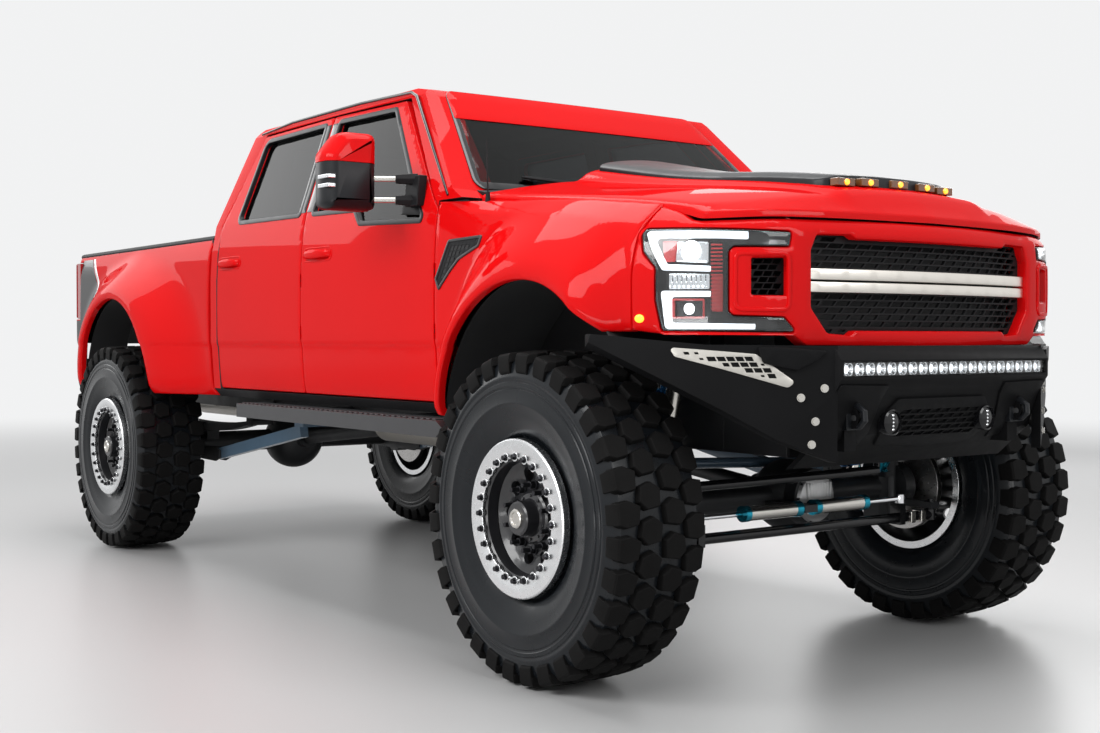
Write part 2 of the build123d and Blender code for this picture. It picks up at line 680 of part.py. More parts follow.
# Front bumper: folded centre plates, swept wings, skid plate and tow hooks
WING_Y = BUMPER_Y - 8
HOOK_Y = 430
POD_Y = 250
POD_R = 38
WING = [(WING_Y, 1176), (900, 1180), (WING_TIP_Y, WING_TIP_Z), (WING_TIP_Y + 6, 1188), (900, 1000), (700, 872), (WING_Y, 800)]
with BuildPart() as front_bumper:
    face = [(3052, BUMPER_TOP_Z), (BUMPER_X, 1130), (BUMPER_X, 1066), (3046, 1010), (3000, 880), (2872, 768)]
    back = [(x - BUMPER_PLATE * 1.2, z - 4) for x, z in face]
    across(face + list(reversed(back)), -BUMPER_Y, BUMPER_Y)
    block(2790, 3040, -BUMPER_Y, BUMPER_Y, BUMPER_TOP_Z - 12, BUMPER_TOP_Z)
    slot = LAMP_BAR_Y + 2
    low, high = LAMP_BAR_Z - LAMP_BAR_H / 2, LAMP_BAR_Z + LAMP_BAR_H / 2
    block(BUMPER_X - 70, BUMPER_X, -slot, slot, low, high, mode=Mode.SUBTRACT)
    with BuildSketch(Plane.XY.offset(760)) as wing_plan:
        with BuildLine():
            Polyline(
                (3062, WING_Y), (2860, 860), (WING_TIP_X, WING_TIP_Y + 6), (WING_TIP_X - 50, WING_TIP_Y - 20),
                (2820, 840), (3022, WING_Y), close=True,
            )
        make_face()
    wing = extrude(wing_plan.sketch, amount=500, mode=Mode.PRIVATE) & along(WING, 2300, 3100, mode=Mode.PRIVATE)
    add(wing)
    mirror(wing, about=Plane.XZ)
    # Arms back to the frame rails
    for sign in (1, -1):
        y = sign * RAIL_Y
        block(RAIL_FRONT_X, RAIL_FRONT_X + 12, y - RAIL_W / 2, y + RAIL_W / 2, RAIL_Z - RAIL_H / 2, RAIL_Z + RAIL_H / 2)
        block(RAIL_FRONT_X, RAIL_FRONT_X + 248, y - 28, y + 28, RAIL_Z - 50, RAIL_Z + 70)
    # Tow hooks and round lamps
    for sign in (1, -1):
        y = sign * HOOK_Y
        across([(3000, 900), (3052, 908), (3066, 940), (3056, 972), (3016, 978)], y - 12, y + 12)
        bar((3042, y - 20, 940), (3042, y + 20, 940), 12, mode=Mode.SUBTRACT)
        bar((2980, sign * POD_Y, 920), (3036, sign * POD_Y, 920), POD_R)
write(front_bumper.part, "front_bumper")

with BuildPart() as light_bar:
    block(BUMPER_X - 62, BUMPER_X - 8, -LAMP_BAR_Y, LAMP_BAR_Y, LAMP_BAR_Z - LAMP_BAR_H / 2, LAMP_BAR_Z + LAMP_BAR_H / 2)
write(light_bar.part, "light_bar")

# Load bed: double side walls with the wide flares, a ribbed floor with its front wall, and wheel boxes
with BuildPart() as bed_sides:
    wall = [
        (BODY_Y - 26, ROCKER_Z + 2),
        (BODY_Y, CREASE_Z),
        (BODY_Y, 1540),
        (BODY_Y - 26, BED_RAIL_Z - 14),
        (BODY_Y - 40, BED_RAIL_Z),
        (BODY_Y - BED_WALL, BED_RAIL_Z),
        (BODY_Y - BED_WALL, BED_FLOOR_Z - BED_SHEET),
        (BODY_Y - PANEL - 26, BED_FLOOR_Z - BED_SHEET),
        (BODY_Y - PANEL - 26, ROCKER_Z + 2),
    ]
    along(wall, BED_POST_X, BED_FRONT_X)
    arch_cut(REAR_ARCH_X, REAR_ARCH_Z, REAR_ARCH_R)
    flare = turned(flare_profile(REAR_ARCH_R, REAR_FLARE_Y), REAR_ARCH_X, REAR_ARCH_Z, mode=Mode.PRIVATE)
    add(flare & block(BED_POST_X, BED_FRONT_X, 800, 1300, ROCKER_Z + 2, BED_RAIL_Z - 60, mode=Mode.PRIVATE))
    liner = turned(
        [(REAR_ARCH_R, BED_IN_Y), (REAR_ARCH_R + LINER, BED_IN_Y), (REAR_ARCH_R + LINER, BODY_Y - 20),
         (REAR_ARCH_R, BODY_Y - 20)],
        REAR_ARCH_X, REAR_ARCH_Z, mode=Mode.PRIVATE,
    )
    add(liner & block(BED_POST_X, BED_FRONT_X, 800, 1000, BED_FLOOR_Z, BED_RAIL_Z, mode=Mode.PRIVATE))
    block(BED_POST_X - 5, BED_POST_X + 74, BODY_Y - 70, BODY_Y + 20, 1326, 1688, mode=Mode.SUBTRACT)
    tail = BED_POST_X - 20
    across([(tail, 890), (tail + 210, 890), (tail + 140, 1080), (tail, 1080)], 800, 1300, mode=Mode.SUBTRACT)
    bar((GATE_PIN_X, BED_IN_Y - 10, GATE_PIN_Z), (GATE_PIN_X, BED_IN_Y + 24, GATE_PIN_Z), HINGE_R + RUNNING, mode=Mode.SUBTRACT)
    mirror(about=Plane.XZ)
write(bed_sides.part, "bed_sides")

WHEEL_BOX_Y = 640
BED_RIB_Y = 600
BED_RIBS = 5
with BuildPart() as bed_floor:
    block(BED_BACK_X + 10, BED_FRONT_X, -BED_IN_Y, BED_IN_Y, BED_FLOOR_Z - BED_SHEET, BED_FLOOR_Z)
    block(BED_FRONT_X - 40, BED_FRONT_X, -BED_IN_Y, BED_IN_Y, BED_FLOOR_Z, BED_RAIL_Z - 6)
    for step in range(BED_RIBS):
        x = BED_BACK_X + 275 + 400 * step
        block(x - 30, x + 30, -BED_RIB_Y, BED_RIB_Y, RAIL_Z + RAIL_H / 2, BED_FLOOR_Z - BED_SHEET)
    # Hollow boxes over the wheels, open below
    for radius, y, low, mode in (
        (REAR_ARCH_R + LINER, WHEEL_BOX_Y, BED_FLOOR_Z - BED_SHEET, Mode.ADD),
        (REAR_ARCH_R, WHEEL_BOX_Y + LINER, BED_FLOOR_Z - 2 * BED_SHEET, Mode.SUBTRACT),
    ):
        drum = turned([(0, y), (radius, y), (radius, BED_IN_Y), (0, BED_IN_Y)], REAR_ARCH_X, REAR_ARCH_Z, mode=Mode.PRIVATE)
        box = drum & block(BED_BACK_X, BED_FRONT_X, 600, 1000, low, BED_RAIL_Z, mode=Mode.PRIVATE)
        add(box, mode=mode)
        mirror(box, about=Plane.XZ, mode=mode)
write(bed_floor.part, "bed_floor")

TAILGATE_Z = BED_FLOOR_Z + 8
with BuildPart() as tailgate:
    across(
        [(BED_BACK_X - GAP, TAILGATE_Z), (BED_BACK_X - GAP, BED_RAIL_Z), (BED_BACK_X - TAILGATE_T - 16, BED_RAIL_Z + 4),
         (BED_BACK_X - TAILGATE_T, BED_RAIL_Z - 60), (BED_BACK_X - TAILGATE_T, TAILGATE_Z + 10)],
        -BED_IN_Y + GAP, BED_IN_Y - GAP,
    )
    bar((GATE_PIN_X, -BED_IN_Y - 20, GATE_PIN_Z), (GATE_PIN_X, BED_IN_Y + 20, GATE_PIN_Z), HINGE_R)
write(tailgate.part, "tailgate")

with BuildPart() as tail_lamps:
    block(BED_POST_X - 4, BED_POST_X + 74, BODY_Y - 70, BODY_Y + 4, 1326, 1688)
    mirror(about=Plane.XZ)
write(tail_lamps.part, "tail_lamps")

with BuildPart() as rear_bumper:
    across(
        [(REAR_BUMPER_X, 1060), (REAR_BUMPER_X, 930), (REAR_BUMPER_X + 40, 880), (REAR_BUMPER_X + 52, 880),
         (REAR_BUMPER_X + 12, 936), (REAR_BUMPER_X + 12, 1048), (REAR_BUMPER_X + 135, 1048), (REAR_BUMPER_X + 135, 1072), (REAR_BUMPER_X + 20, 1072)],
        -BODY_Y + 20, BODY_Y - 20,
    )
    side_y = RAIL_Y + RAIL_W / 2
    arm = block(REAR_BUMPER_X + 5, RAIL_BACK_X + 60, side_y, side_y + 14, 850, 1048, mode=Mode.PRIVATE)
    add(arm)
    mirror(arm, about=Plane.XZ)
write(rear_bumper.part, "rear_bumper")

# Frame
with BuildPart() as frame_rails:
    block(RAIL_BACK_X, RAIL_FRONT_X, RAIL_Y - RAIL_W / 2, RAIL_Y + RAIL_W / 2, RAIL_Z - RAIL_H / 2, RAIL_Z + RAIL_H / 2)
    block(
        RAIL_BACK_X - 10, RAIL_FRONT_X + 10, RAIL_Y - RAIL_W / 2 - 1, RAIL_Y + RAIL_W / 2 - RAIL_WALL,
        RAIL_Z - RAIL_H / 2 + RAIL_WALL, RAIL_Z + RAIL_H / 2 - RAIL_WALL, mode=Mode.SUBTRACT,
    )
    mirror(about=Plane.XZ)
write(frame_rails.part, "frame_rails")

HITCH_X = RAIL_BACK_X + 40
CROSSMEMBERS = [
    # station, half length along the truck, underside, top
    (RAIL_FRONT_X - 60, 30, 842, 905),
    (562, 50, 655, 710),
    (REAR_AXLE_X + 760, 40, 842, 905),
    (REAR_AXLE_X - 540, 40, 842, 905),
]
RAIL_IN_Y = RAIL_Y + RAIL_W / 2 - RAIL_WALL
with BuildPart() as crossmembers:
    for x, half, low, high in CROSSMEMBERS:
        block(x - half, x + half, -RAIL_IN_Y, RAIL_IN_Y, low, high)
        if high < RAIL_Z - RAIL_H / 2:
            block(x - half, x + half, RAIL_IN_Y - 12, RAIL_IN_Y, high, RAIL_Z - RAIL_H / 2)
            block(x - half, x + half, -RAIL_IN_Y, 12 - RAIL_IN_Y, high, RAIL_Z - RAIL_H / 2)
    side = RECEIVER + 2 * RECEIVER_WALL
    block(HITCH_X - 34, HITCH_X + 34, -RAIL_Y, RAIL_Y, RECEIVER_Z - 34, RECEIVER_Z + 34)
    for sign in (1, -1):
        block(HITCH_X - 60, HITCH_X + 60, sign * RAIL_Y - 6, sign * RAIL_Y + 6, RECEIVER_Z - 40, RAIL_Z - RAIL_H / 2)
    block(RECEIVER_END_X, HITCH_X + 34, -side / 2, side / 2, RECEIVER_Z - side / 2, RECEIVER_Z + side / 2)
    block(
        RECEIVER_END_X - 5, HITCH_X + 40, -RECEIVER / 2, RECEIVER / 2,
        RECEIVER_Z - RECEIVER / 2, RECEIVER_Z + RECEIVER / 2, mode=Mode.SUBTRACT,
    )
    bar((RECEIVER_END_X + 55, -60, RECEIVER_Z), (RECEIVER_END_X + 55, 60, RECEIVER_Z), 8, mode=Mode.SUBTRACT)
write(crossmembers.part, "crossmembers")

with BuildPart() as running_boards:
    across([(-452, 812), (-452, 878), (1430, 878), (1478, 850), (1430, 812)], 880, 1040)
    for x in (-330, 480, 1260):
        block(x - 30, x + 30, RAIL_Y + RAIL_W / 2, 880, 822, 850)
    mirror(about=Plane.XZ)
write(running_boards.part, "running_boards")

# Power and drive
with BuildPart() as engine_block:
    block(1620, 2460, -285, 285, 905, 1420)
    block(2050, 2130, -RAIL_IN_Y, RAIL_IN_Y, 905, 950)
write(engine_block.part, "engine_block")

FRONT_DIFF_Y = 140
with BuildPart() as driveline:
    across([(1620, 780), (1620, 968), (500, 968), (300, 930), (300, 760), (500, 720), (900, 760)], -140, 140)
    block(260, 480, 100, 250, 700, 860)
    block(530, 594, -60, 60, 710.3, 740)
    bar((294, 0, 820), (REAR_AXLE_X + 220, 0, 610), 50)
    bar((484, 200, 760), (FRONT_AXLE_X - 180, FRONT_DIFF_Y, 600), 32)
write(driveline.part, "driveline")

TANK_X = REAR_AXLE_X + 760
TANK_Y = 478
with BuildPart() as fuel_tank:
    block(TANK_X, TANK_X + 540, TANK_Y, 850, 742, 888)
    for x in (TANK_X + 100, TANK_X + 440):
        block(x - 20, x + 20, RAIL_Y + RAIL_W / 2, TANK_Y, 800, 860)
write(fuel_tank.part, "fuel_tank")

PIPE_Y = 290
PIPE_Z = 765
with BuildPart() as exhaust:
    bar((-240, -PIPE_Y, PIPE_Z), (420, -PIPE_Y, PIPE_Z), 92)
    bar((420, -PIPE_Y, PIPE_Z), (1560, -PIPE_Y, PIPE_Z + 35), 38)
    bar((REAR_AXLE_X - 700, -PIPE_Y, PIPE_Z), (-240, -PIPE_Y, PIPE_Z), 45)
    for x in (REAR_AXLE_X - 260, -1000, 1000):
        block(x - 12, x + 12, -410, -PIPE_Y, PIPE_Z + 18, RAIL_Z - RAIL_H / 2)
write(exhaust.part, "exhaust")

# Rear suspension
SPRING_Y = 560
SPRING_HALF = 700
LEAF_W = 76
with BuildPart() as leaf_springs:
    with BuildSketch(Plane.XZ.offset(-SPRING_Y - LEAF_W / 2)) as pack:
        with BuildLine():
            under = ThreePointArc((REAR_AXLE_X - SPRING_HALF, 726), (REAR_AXLE_X, 652), (REAR_AXLE_X + SPRING_HALF, 726))
            over = ThreePointArc((REAR_AXLE_X - SPRING_HALF, 742), (REAR_AXLE_X, 704), (REAR_AXLE_X + SPRING_HALF, 742))
            Line(under @ 0, over @ 0)
            Line(under @ 1, over @ 1)
        make_face()
    extrude(pack.sketch, amount=LEAF_W)
    for sign in (1, -1):
        x = REAR_AXLE_X + sign * SPRING_HALF
        bar((x, RAIL_Y + RAIL_W / 2, 738), (x, SPRING_Y + LEAF_W / 2 + 22, 738), 24)
        block(x - 34, x + 34, RAIL_Y + RAIL_W / 2, RAIL_Y + RAIL_W / 2 + 16, 714, RAIL_Z)
        block(x - 28, x + 28, SPRING_Y + LEAF_W / 2 + 8, SPRING_Y + LEAF_W / 2 + 22, 714, 790)
    mirror(about=Plane.XZ)
write(leaf_springs.part, "leaf_springs")

BAR_Y = 660
BAR_BACK_X = REAR_AXLE_X + 440
BAR_FRONT_X = BAR_BACK_X + 1030
BOLT_R = 12
with BuildPart() as rear_axle:
    for inner in (BAR_Y - 36, BAR_Y + 24):
        across(
            [(REAR_AXLE_X - 66, 506), (REAR_AXLE_X - 66, 560), (BAR_BACK_X - 20, 580), (BAR_BACK_X + 30, 565),
             (BAR_BACK_X + 30, 520), (BAR_BACK_X - 30, 500)],
            inner, inner + 12,
        )
    bar((BAR_BACK_X, BAR_Y - 30, 545), (BAR_BACK_X, BAR_Y + 30, 545), BOLT_R)
    mirror(about=Plane.XZ)
    bar((REAR_AXLE_X, -720, HUB_Z), (REAR_AXLE_X, 720, HUB_Z), 62)
    bar((REAR_AXLE_X, -1085, HUB_Z), (REAR_AXLE_X, 1085, HUB_Z), SPINDLE_R)
    with Locations((REAR_AXLE_X, 0, HUB_Z)):
        Sphere(180)
    bar((REAR_AXLE_X, 0, HUB_Z), (REAR_AXLE_X + 214, 0, HUB_Z + 26), 70)
    for sign in (1, -1):
        block(
            REAR_AXLE_X - 70, REAR_AXLE_X + 70, sign * SPRING_Y - LEAF_W / 2, sign * SPRING_Y + LEAF_W / 2, 600, 651.7,
        )
        bar((REAR_AXLE_X, sign * 720, HUB_Z), (REAR_AXLE_X, sign * 800, HUB_Z), 110)
write(rear_axle.part, "rear_axle")

# Front axle, with the forks that hold the knuckles at their kingpins
FORK = [(634, 438), (790, 438), (790, 460), (690, 460), (690, 700), (790, 700), (790, 722), (634, 722)]
PIN_R = 16
with BuildPart() as front_axle:
    along(FORK, FRONT_AXLE_X - 42, FRONT_AXLE_X + 42)
    with Locations((FRONT_AXLE_X, KINGPIN_Y, HUB_Z)):
        Cylinder(PIN_R + RUNNING, 400, mode=Mode.SUBTRACT)
    mirror(about=Plane.XZ)
    bar((FRONT_AXLE_X, -640, HUB_Z), (FRONT_AXLE_X, 640, HUB_Z), 52)
    with Locations((FRONT_AXLE_X, FRONT_DIFF_Y, HUB_Z)):
        Sphere(142)
    bar((FRONT_AXLE_X, FRONT_DIFF_Y, HUB_Z), (FRONT_AXLE_X + 146, FRONT_DIFF_Y, HUB_Z), 112)
    bar((FRONT_AXLE_X, FRONT_DIFF_Y, HUB_Z), (FRONT_AXLE_X - 176, FRONT_DIFF_Y, HUB_Z + 16), 56)
    block(FRONT_AXLE_X + 40, FRONT_AXLE_X + 262, -34, 34, DAMPER_Z - 14, DAMPER_Z + 14)
write(front_axle.part, "front_axle")

with BuildPart() as suspension_links:
    beam((BAR_BACK_X - 20, BAR_Y, 541), (BAR_FRONT_X, BAR_Y, 725), 44, 62)
    block(BAR_FRONT_X - 50, BAR_FRONT_X + 50, RAIL_Y + RAIL_W / 2, BAR_Y + 30, 748, 792)
    bar((BAR_BACK_X, BAR_Y - 40, 545), (BAR_BACK_X, BAR_Y + 40, 545), BOLT_R + RUNNING, mode=Mode.SUBTRACT)
    beam((FRONT_AXLE_X - 60, 455, 572), (1240, 455, 742), 50, 70)
    block(1190, 1290, 420, 462, 716, RAIL_Z - RAIL_H / 2)
    mirror(about=Plane.XZ)
    bar((2070, 380, 690), (2070, -330, 720), 21)
    block(2040, 2100, -RAIL_IN_Y, -330, 690, RAIL_Z - RAIL_H / 2)
    block(2050, FRONT_AXLE_X - 52.6, 360, 400, 560, 712)
write(suspension_links.part, "suspension_links")

SHOCK_Y = 607
COIL_Y = 526
REAR_SHOCK_Y = 640
with BuildPart() as shocks:
    bar((2252, SHOCK_Y, 640), (2400, SHOCK_Y, 1214), 30)
    bar((2108, SHOCK_Y, 640), (1960, SHOCK_Y, 1214), 30)
    block(2060, 2300, SHOCK_Y - 24, SHOCK_Y + 24, 632.3, 652)
    bar((REAR_AXLE_X - 120, REAR_SHOCK_Y, 586), (REAR_AXLE_X - 230, REAR_SHOCK_Y, 915), 34)
    block(REAR_AXLE_X - 270, REAR_AXLE_X - 190, RAIL_Y + RAIL_W / 2, REAR_SHOCK_Y + 30, 905, 940)
    block(REAR_AXLE_X - 150, REAR_AXLE_X - 62.7, REAR_SHOCK_Y - 28, REAR_SHOCK_Y + 28, 560, 600)
    bar((FRONT_AXLE_X, COIL_Y, 632.3), (FRONT_AXLE_X, COIL_Y, 1149.7), 56, 42)
    mirror(about=Plane.XZ)
write(shocks.part, "shocks")

with BuildPart() as shock_towers:
    block(1900, 2460, RAIL_Y + RAIL_W / 2, RAIL_Y + RAIL_W / 2 + 2, 800, 1240)
    block(1900, 2460, RAIL_Y + RAIL_W / 2, 652, 1222, 1240)
    block(FRONT_AXLE_X - 66, FRONT_AXLE_X + 66, RAIL_Y + RAIL_W / 2, 590, 1150, 1162)
    block(FIREWALL_X, 2600, 664, 670, 1092, 1500)
    mirror(about=Plane.XZ)
write(shock_towers.part, "shock_towers")

# Steering: knuckles, tie rod and its dampers, drag link, pitman arm and gear
with BuildPart() as knuckle:
    bar((FRONT_AXLE_X, KINGPIN_Y, 466), (FRONT_AXLE_X, KINGPIN_Y, 694), 40)
    bar((FRONT_AXLE_X, KINGPIN_Y, 430), (FRONT_AXLE_X, KINGPIN_Y, 730), PIN_R)
    bar((FRONT_AXLE_X, KINGPIN_Y, HUB_Z), (FRONT_AXLE_X, KINGPIN_Y + 60, HUB_Z), 96)
    bar((FRONT_AXLE_X, KINGPIN_Y, HUB_Z), (FRONT_AXLE_X, 1085, HUB_Z), SPINDLE_R)
    block(FRONT_AXLE_X, FRONT_AXLE_X + ARM + 26, KINGPIN_Y - 24, KINGPIN_Y + 24, TIE_Z + 26, TIE_Z + 52)
    bar((FRONT_AXLE_X + ARM, KINGPIN_Y, TIE_Z), (FRONT_AXLE_X + ARM, KINGPIN_Y, TIE_Z + 80), 12 + RUNNING, mode=Mode.SUBTRACT)
with BuildPart() as knuckle_left:
    add(knuckle.part)
with BuildPart() as knuckle_right:
    mirror(knuckle.part, about=Plane.XZ)
    block(FRONT_AXLE_X, FRONT_AXLE_X + ARM + 26, -KINGPIN_Y - 24, 24 - KINGPIN_Y, DRAG_Z - 48, DRAG_Z - 24)
    bar((FRONT_AXLE_X + ARM, -KINGPIN_Y, DRAG_Z - 60), (FRONT_AXLE_X + ARM, -KINGPIN_Y, DRAG_Z), 12 + RUNNING, mode=Mode.SUBTRACT)
write(knuckle_left.part, "knuckle_left")
write(knuckle_right.part, "knuckle_right")

TIE_X = FRONT_AXLE_X + ARM
PITMAN_END_X = PITMAN_X + ARM
PITMAN_Z = 728
with BuildPart() as steering_rods:
    bar((TIE_X, -KINGPIN_Y, TIE_Z), (TIE_X, KINGPIN_Y, TIE_Z), 20)
    for sign in (1, -1):
        bar((TIE_X, sign * KINGPIN_Y, TIE_Z - 22), (TIE_X, sign * KINGPIN_Y, TIE_Z + 22), 24)
        bar((TIE_X, sign * KINGPIN_Y, TIE_Z), (TIE_X, sign * KINGPIN_Y, TIE_Z + 64), 12)
        block(TIE_X - 26, TIE_X + 26, sign * DAMPER_Y - 16, sign * DAMPER_Y + 16, TIE_Z - 26, DAMPER_Z - 23)
    bar((TIE_X, -KINGPIN_Y, DRAG_Z), (PITMAN_END_X, PITMAN_Y, DRAG_Z + 18), 18)
    bar((TIE_X, -KINGPIN_Y, DRAG_Z - 56), (TIE_X, -KINGPIN_Y, DRAG_Z), 12)
    bar((PITMAN_END_X, PITMAN_Y, DRAG_Z + 18), (PITMAN_END_X, PITMAN_Y, PITMAN_Z + 18), 12)
write(steering_rods.part, "steering_rods")

with BuildPart() as pitman_arm:
    block(PITMAN_X, PITMAN_END_X, PITMAN_Y - 20, PITMAN_Y + 20, PITMAN_Z - 12, PITMAN_Z + 12)
    for x in (PITMAN_X, PITMAN_END_X):
        bar((x, PITMAN_Y, PITMAN_Z - 12), (x, PITMAN_Y, PITMAN_Z + 12), 30)
    bar((PITMAN_X, PITMAN_Y, PITMAN_Z), (PITMAN_X, PITMAN_Y, 830), 16)
    bar((PITMAN_END_X, PITMAN_Y, PITMAN_Z - 20), (PITMAN_END_X, PITMAN_Y, PITMAN_Z + 20), 12 + RUNNING, mode=Mode.SUBTRACT)
write(pitman_arm.part, "pitman_arm")

with BuildPart() as steering_gear:
    block(PITMAN_X - 75, PITMAN_X + 90, 296, RAIL_IN_Y, 806, 948)
    bar((PITMAN_X, PITMAN_Y, 752), (PITMAN_X, PITMAN_Y, 810), 42)
    bar((PITMAN_X, PITMAN_Y, 740), (PITMAN_X, PITMAN_Y, 832), 16 + RUNNING, mode=Mode.SUBTRACT)
write(steering_gear.part, "steering_gear")

DAMPER_X = TIE_X + 10
DAMPER_R = 30
ROD_R = 9
with BuildPart() as steering_dampers:
    bar((DAMPER_X, 34, DAMPER_Z), (DAMPER_X, 330, DAMPER_Z), DAMPER_R)
    bar((DAMPER_X, 74, DAMPER_Z), (DAMPER_X, 331, DAMPER_Z), ROD_R + RUNNING, mode=Mode.SUBTRACT)
    mirror(about=Plane.XZ)
write(steering_dampers.part, "steering_dampers")

with BuildPart() as damper_rods:
    bar((DAMPER_X, 190, DAMPER_Z), (DAMPER_X, DAMPER_Y, DAMPER_Z), ROD_R)
    bar((DAMPER_X, DAMPER_Y, DAMPER_Z - 17.5), (DAMPER_X, DAMPER_Y, DAMPER_Z + 17.5), 20)
    mirror(about=Plane.XZ)
write(damper_rods.part, "damper_rods")

# Steering wheel, leaning back towards the driver
GRIP_R = 188
wheel_plane = Plane(origin=WHEEL_HUB, x_dir=(0, 1, 0), z_dir=FACING)
with BuildPart() as steering_wheel:
    with BuildSketch(Plane(origin=WHEEL_HUB, x_dir=(0, 1, 0), z_dir=wheel_plane.y_dir * -1)) as grip:
        with Locations((GRIP_R, 0)):
            Circle(15)
    revolve(grip.sketch, Axis(WHEEL_HUB, FACING))
    with BuildSketch(wheel_plane.offset(-14)) as spokes:
        Rectangle(2 * GRIP_R, 46)
        Circle(62)
        with Locations((0, -GRIP_R / 2)):
            Rectangle(46, GRIP_R)
    extrude(spokes.sketch, amount=22)
    bar(WHEEL_HUB, WHEEL_HUB - FACING * 90, COLUMN_R)
write(steering_wheel.part, "steering_wheel")

# Wheels: the rim with its clamping ring and hub, and the tyre
HAND_HOLES = 10
RIM_IN_Y = 852
RIM_OUT_Y = 1184
with BuildPart() as rim:
    turned(
        [(RIM_R - 8, RIM_IN_Y), (RING_R, RIM_IN_Y), (RING_R, RIM_IN_Y + 14), (RIM_R, RIM_IN_Y + 20), (RIM_R, 1140),
         (RING_R, 1150), (RING_R, RIM_OUT_Y - 4), (RING_R - 6, RIM_OUT_Y), (RING_R - 40, RIM_OUT_Y),
         (RING_R - 42, 1150), (RIM_R - 8, 1130)],
        0, HUB_Z,
    )
    turned([(SPINDLE_R + RUNNING, 1072), (RIM_R - 4, 1072), (RIM_R - 4, 1090), (SPINDLE_R + RUNNING, 1090)], 0, HUB_Z)
    turned([(SPINDLE_R + RUNNING, 856), (112, 856), (112, 1072), (SPINDLE_R + RUNNING, 1072)], 0, HUB_Z)
    turned([(0, 1086), (92, 1086), (92, 1128), (60, 1136), (60, 1170), (0, 1176)], 0, HUB_Z)
    turned([(SPINDLE_R + RUNNING, 826), (DISC_R, 826), (DISC_R, 856), (SPINDLE_R + RUNNING, 856)], 0, HUB_Z)
    with BuildSketch(Plane.XZ.offset(-1100)) as holes:
        with Locations((0, HUB_Z)):
            with PolarLocations(190, HAND_HOLES):
                Circle(27)
    extrude(holes.sketch, amount=40, mode=Mode.SUBTRACT)

TYRE_SIDE = [
    # radius, distance from the tyre's middle
    (RIM_R + 1, 128), (RING_R + 2, 130), (RING_R + 14, 148), (340, 176), (430, TYRE_W / 2), (510, 180), (552, 168),
    (574, 150), (TYRE_R, 120),
]
LUGS = 20
GROOVE = 34
with BuildPart() as tyre:
    left = [(r, WHEEL_Y + y) for r, y in TYRE_SIDE]
    right = [(r, WHEEL_Y - y) for r, y in reversed(TYRE_SIDE)]
    turned(left + right, 0, HUB_Z)
    # Grooves from each shoulder, the far side's half a lug on
    for side, first in ((1, 0), (-1, 180 / LUGS)):
        with BuildSketch(Plane.XZ.offset(-WHEEL_Y - side * TYRE_W / 2 - side * 10)) as slots:
            with Locations((0, HUB_Z)):
                with PolarLocations(TYRE_R - 6, LUGS, start_angle=first):
                    Rectangle(GROOVE, GROOVE)
        extrude(slots.sketch, amount=side * (TYRE_W / 2 - 24), mode=Mode.SUBTRACT)

AXLES = [("front", FRONT_AXLE_X), ("rear", REAR_AXLE_X)]
for axle, x in AXLES:
    for side, sign in SIDES:
        for kind, shape in (("rim", rim.part), ("tyre", tyre.part)):
            there = shape.moved(Location((x, 0, 0)))
            with BuildPart() as corner:
                add(there) if sign > 0 else mirror(there, about=Plane.XZ)
            write(corner.part, f"{kind}_{axle}_{side}")

# Mirrors on arms, carried by the front doors
MIRROR = (1067, 1232, 1872)
with BuildPart() as mirror_left:
    with BuildSketch(Plane.YZ.offset(MIRROR[0] - 65)) as head:
        with Locations((MIRROR[1], MIRROR[2])):
            RectangleRounded(230, 315, 28)
    extrude(head.sketch, amount=130)
    for z in (1762, 1848):
        beam((1075, 1150, z), (1176, 976, z), 24, 26)
    along([(958.4, 1785), (967.4, 1735), (1000, 1740), (992, 1862), (931, 1868)], 1126, 1226)
for side, sign in SIDES:
    with BuildPart() as mirror_side:
        add(mirror_left.part) if sign > 0 else mirror(mirror_left.part, about=Plane.XZ)
    write(mirror_side.part, f"mirror_{side}")
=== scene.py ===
import math

import bmesh
import bpy
import numpy as np
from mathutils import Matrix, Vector, geometry


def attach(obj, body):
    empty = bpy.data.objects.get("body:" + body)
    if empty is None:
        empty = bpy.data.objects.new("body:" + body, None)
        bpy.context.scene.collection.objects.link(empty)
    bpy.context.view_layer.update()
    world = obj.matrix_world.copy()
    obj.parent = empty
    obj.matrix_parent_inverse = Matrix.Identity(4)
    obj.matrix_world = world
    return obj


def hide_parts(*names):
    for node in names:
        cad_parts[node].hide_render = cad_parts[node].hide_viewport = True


# Looks of the lifted pickup truck. Sizes and places are in millimetres, in the frame of the solids:
# X forward, Y to the truck's left, Z up. MM turns them into Blender's metres.
MM = 0.001
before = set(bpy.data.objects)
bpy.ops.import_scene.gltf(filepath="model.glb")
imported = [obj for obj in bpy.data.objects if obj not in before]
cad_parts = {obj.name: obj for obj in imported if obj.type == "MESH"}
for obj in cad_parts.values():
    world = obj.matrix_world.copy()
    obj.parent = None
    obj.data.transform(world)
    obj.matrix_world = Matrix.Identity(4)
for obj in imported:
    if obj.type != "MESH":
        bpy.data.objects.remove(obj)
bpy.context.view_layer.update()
SIDES = (("left", 1), ("right", -1))

# Camera, from the photo's view
CAMERA_AT = (6207, -3984, 1197)
CAMERA_YAW = 143.77
CAMERA_PITCH = -1.09
CAMERA_LENS = 46.8

# Driving sizes that the solids share
FRONT_AXLE_X = 2180
REAR_AXLE_X = -1940
TYRE_R = 580
TYRE_HALF = 186
WHEEL_Y = 1002
HUB_Z = 580
BODY_Y = 992
BED_FRONT_X = -895
BED_LEAN_Z = 1560
SHOULDER_TALL = 190
HOOD_Y = 880
DOOR_FRONT_X = 1338
GAP = 6
ARCHES = {
    # name: centre x, centre z, radius, half width at the lip
    "front": (2104, 845, 560, 1138),
    "rear": (-1980, 860, 570, 1160),
}


# Shapes, gathered as corners and faces


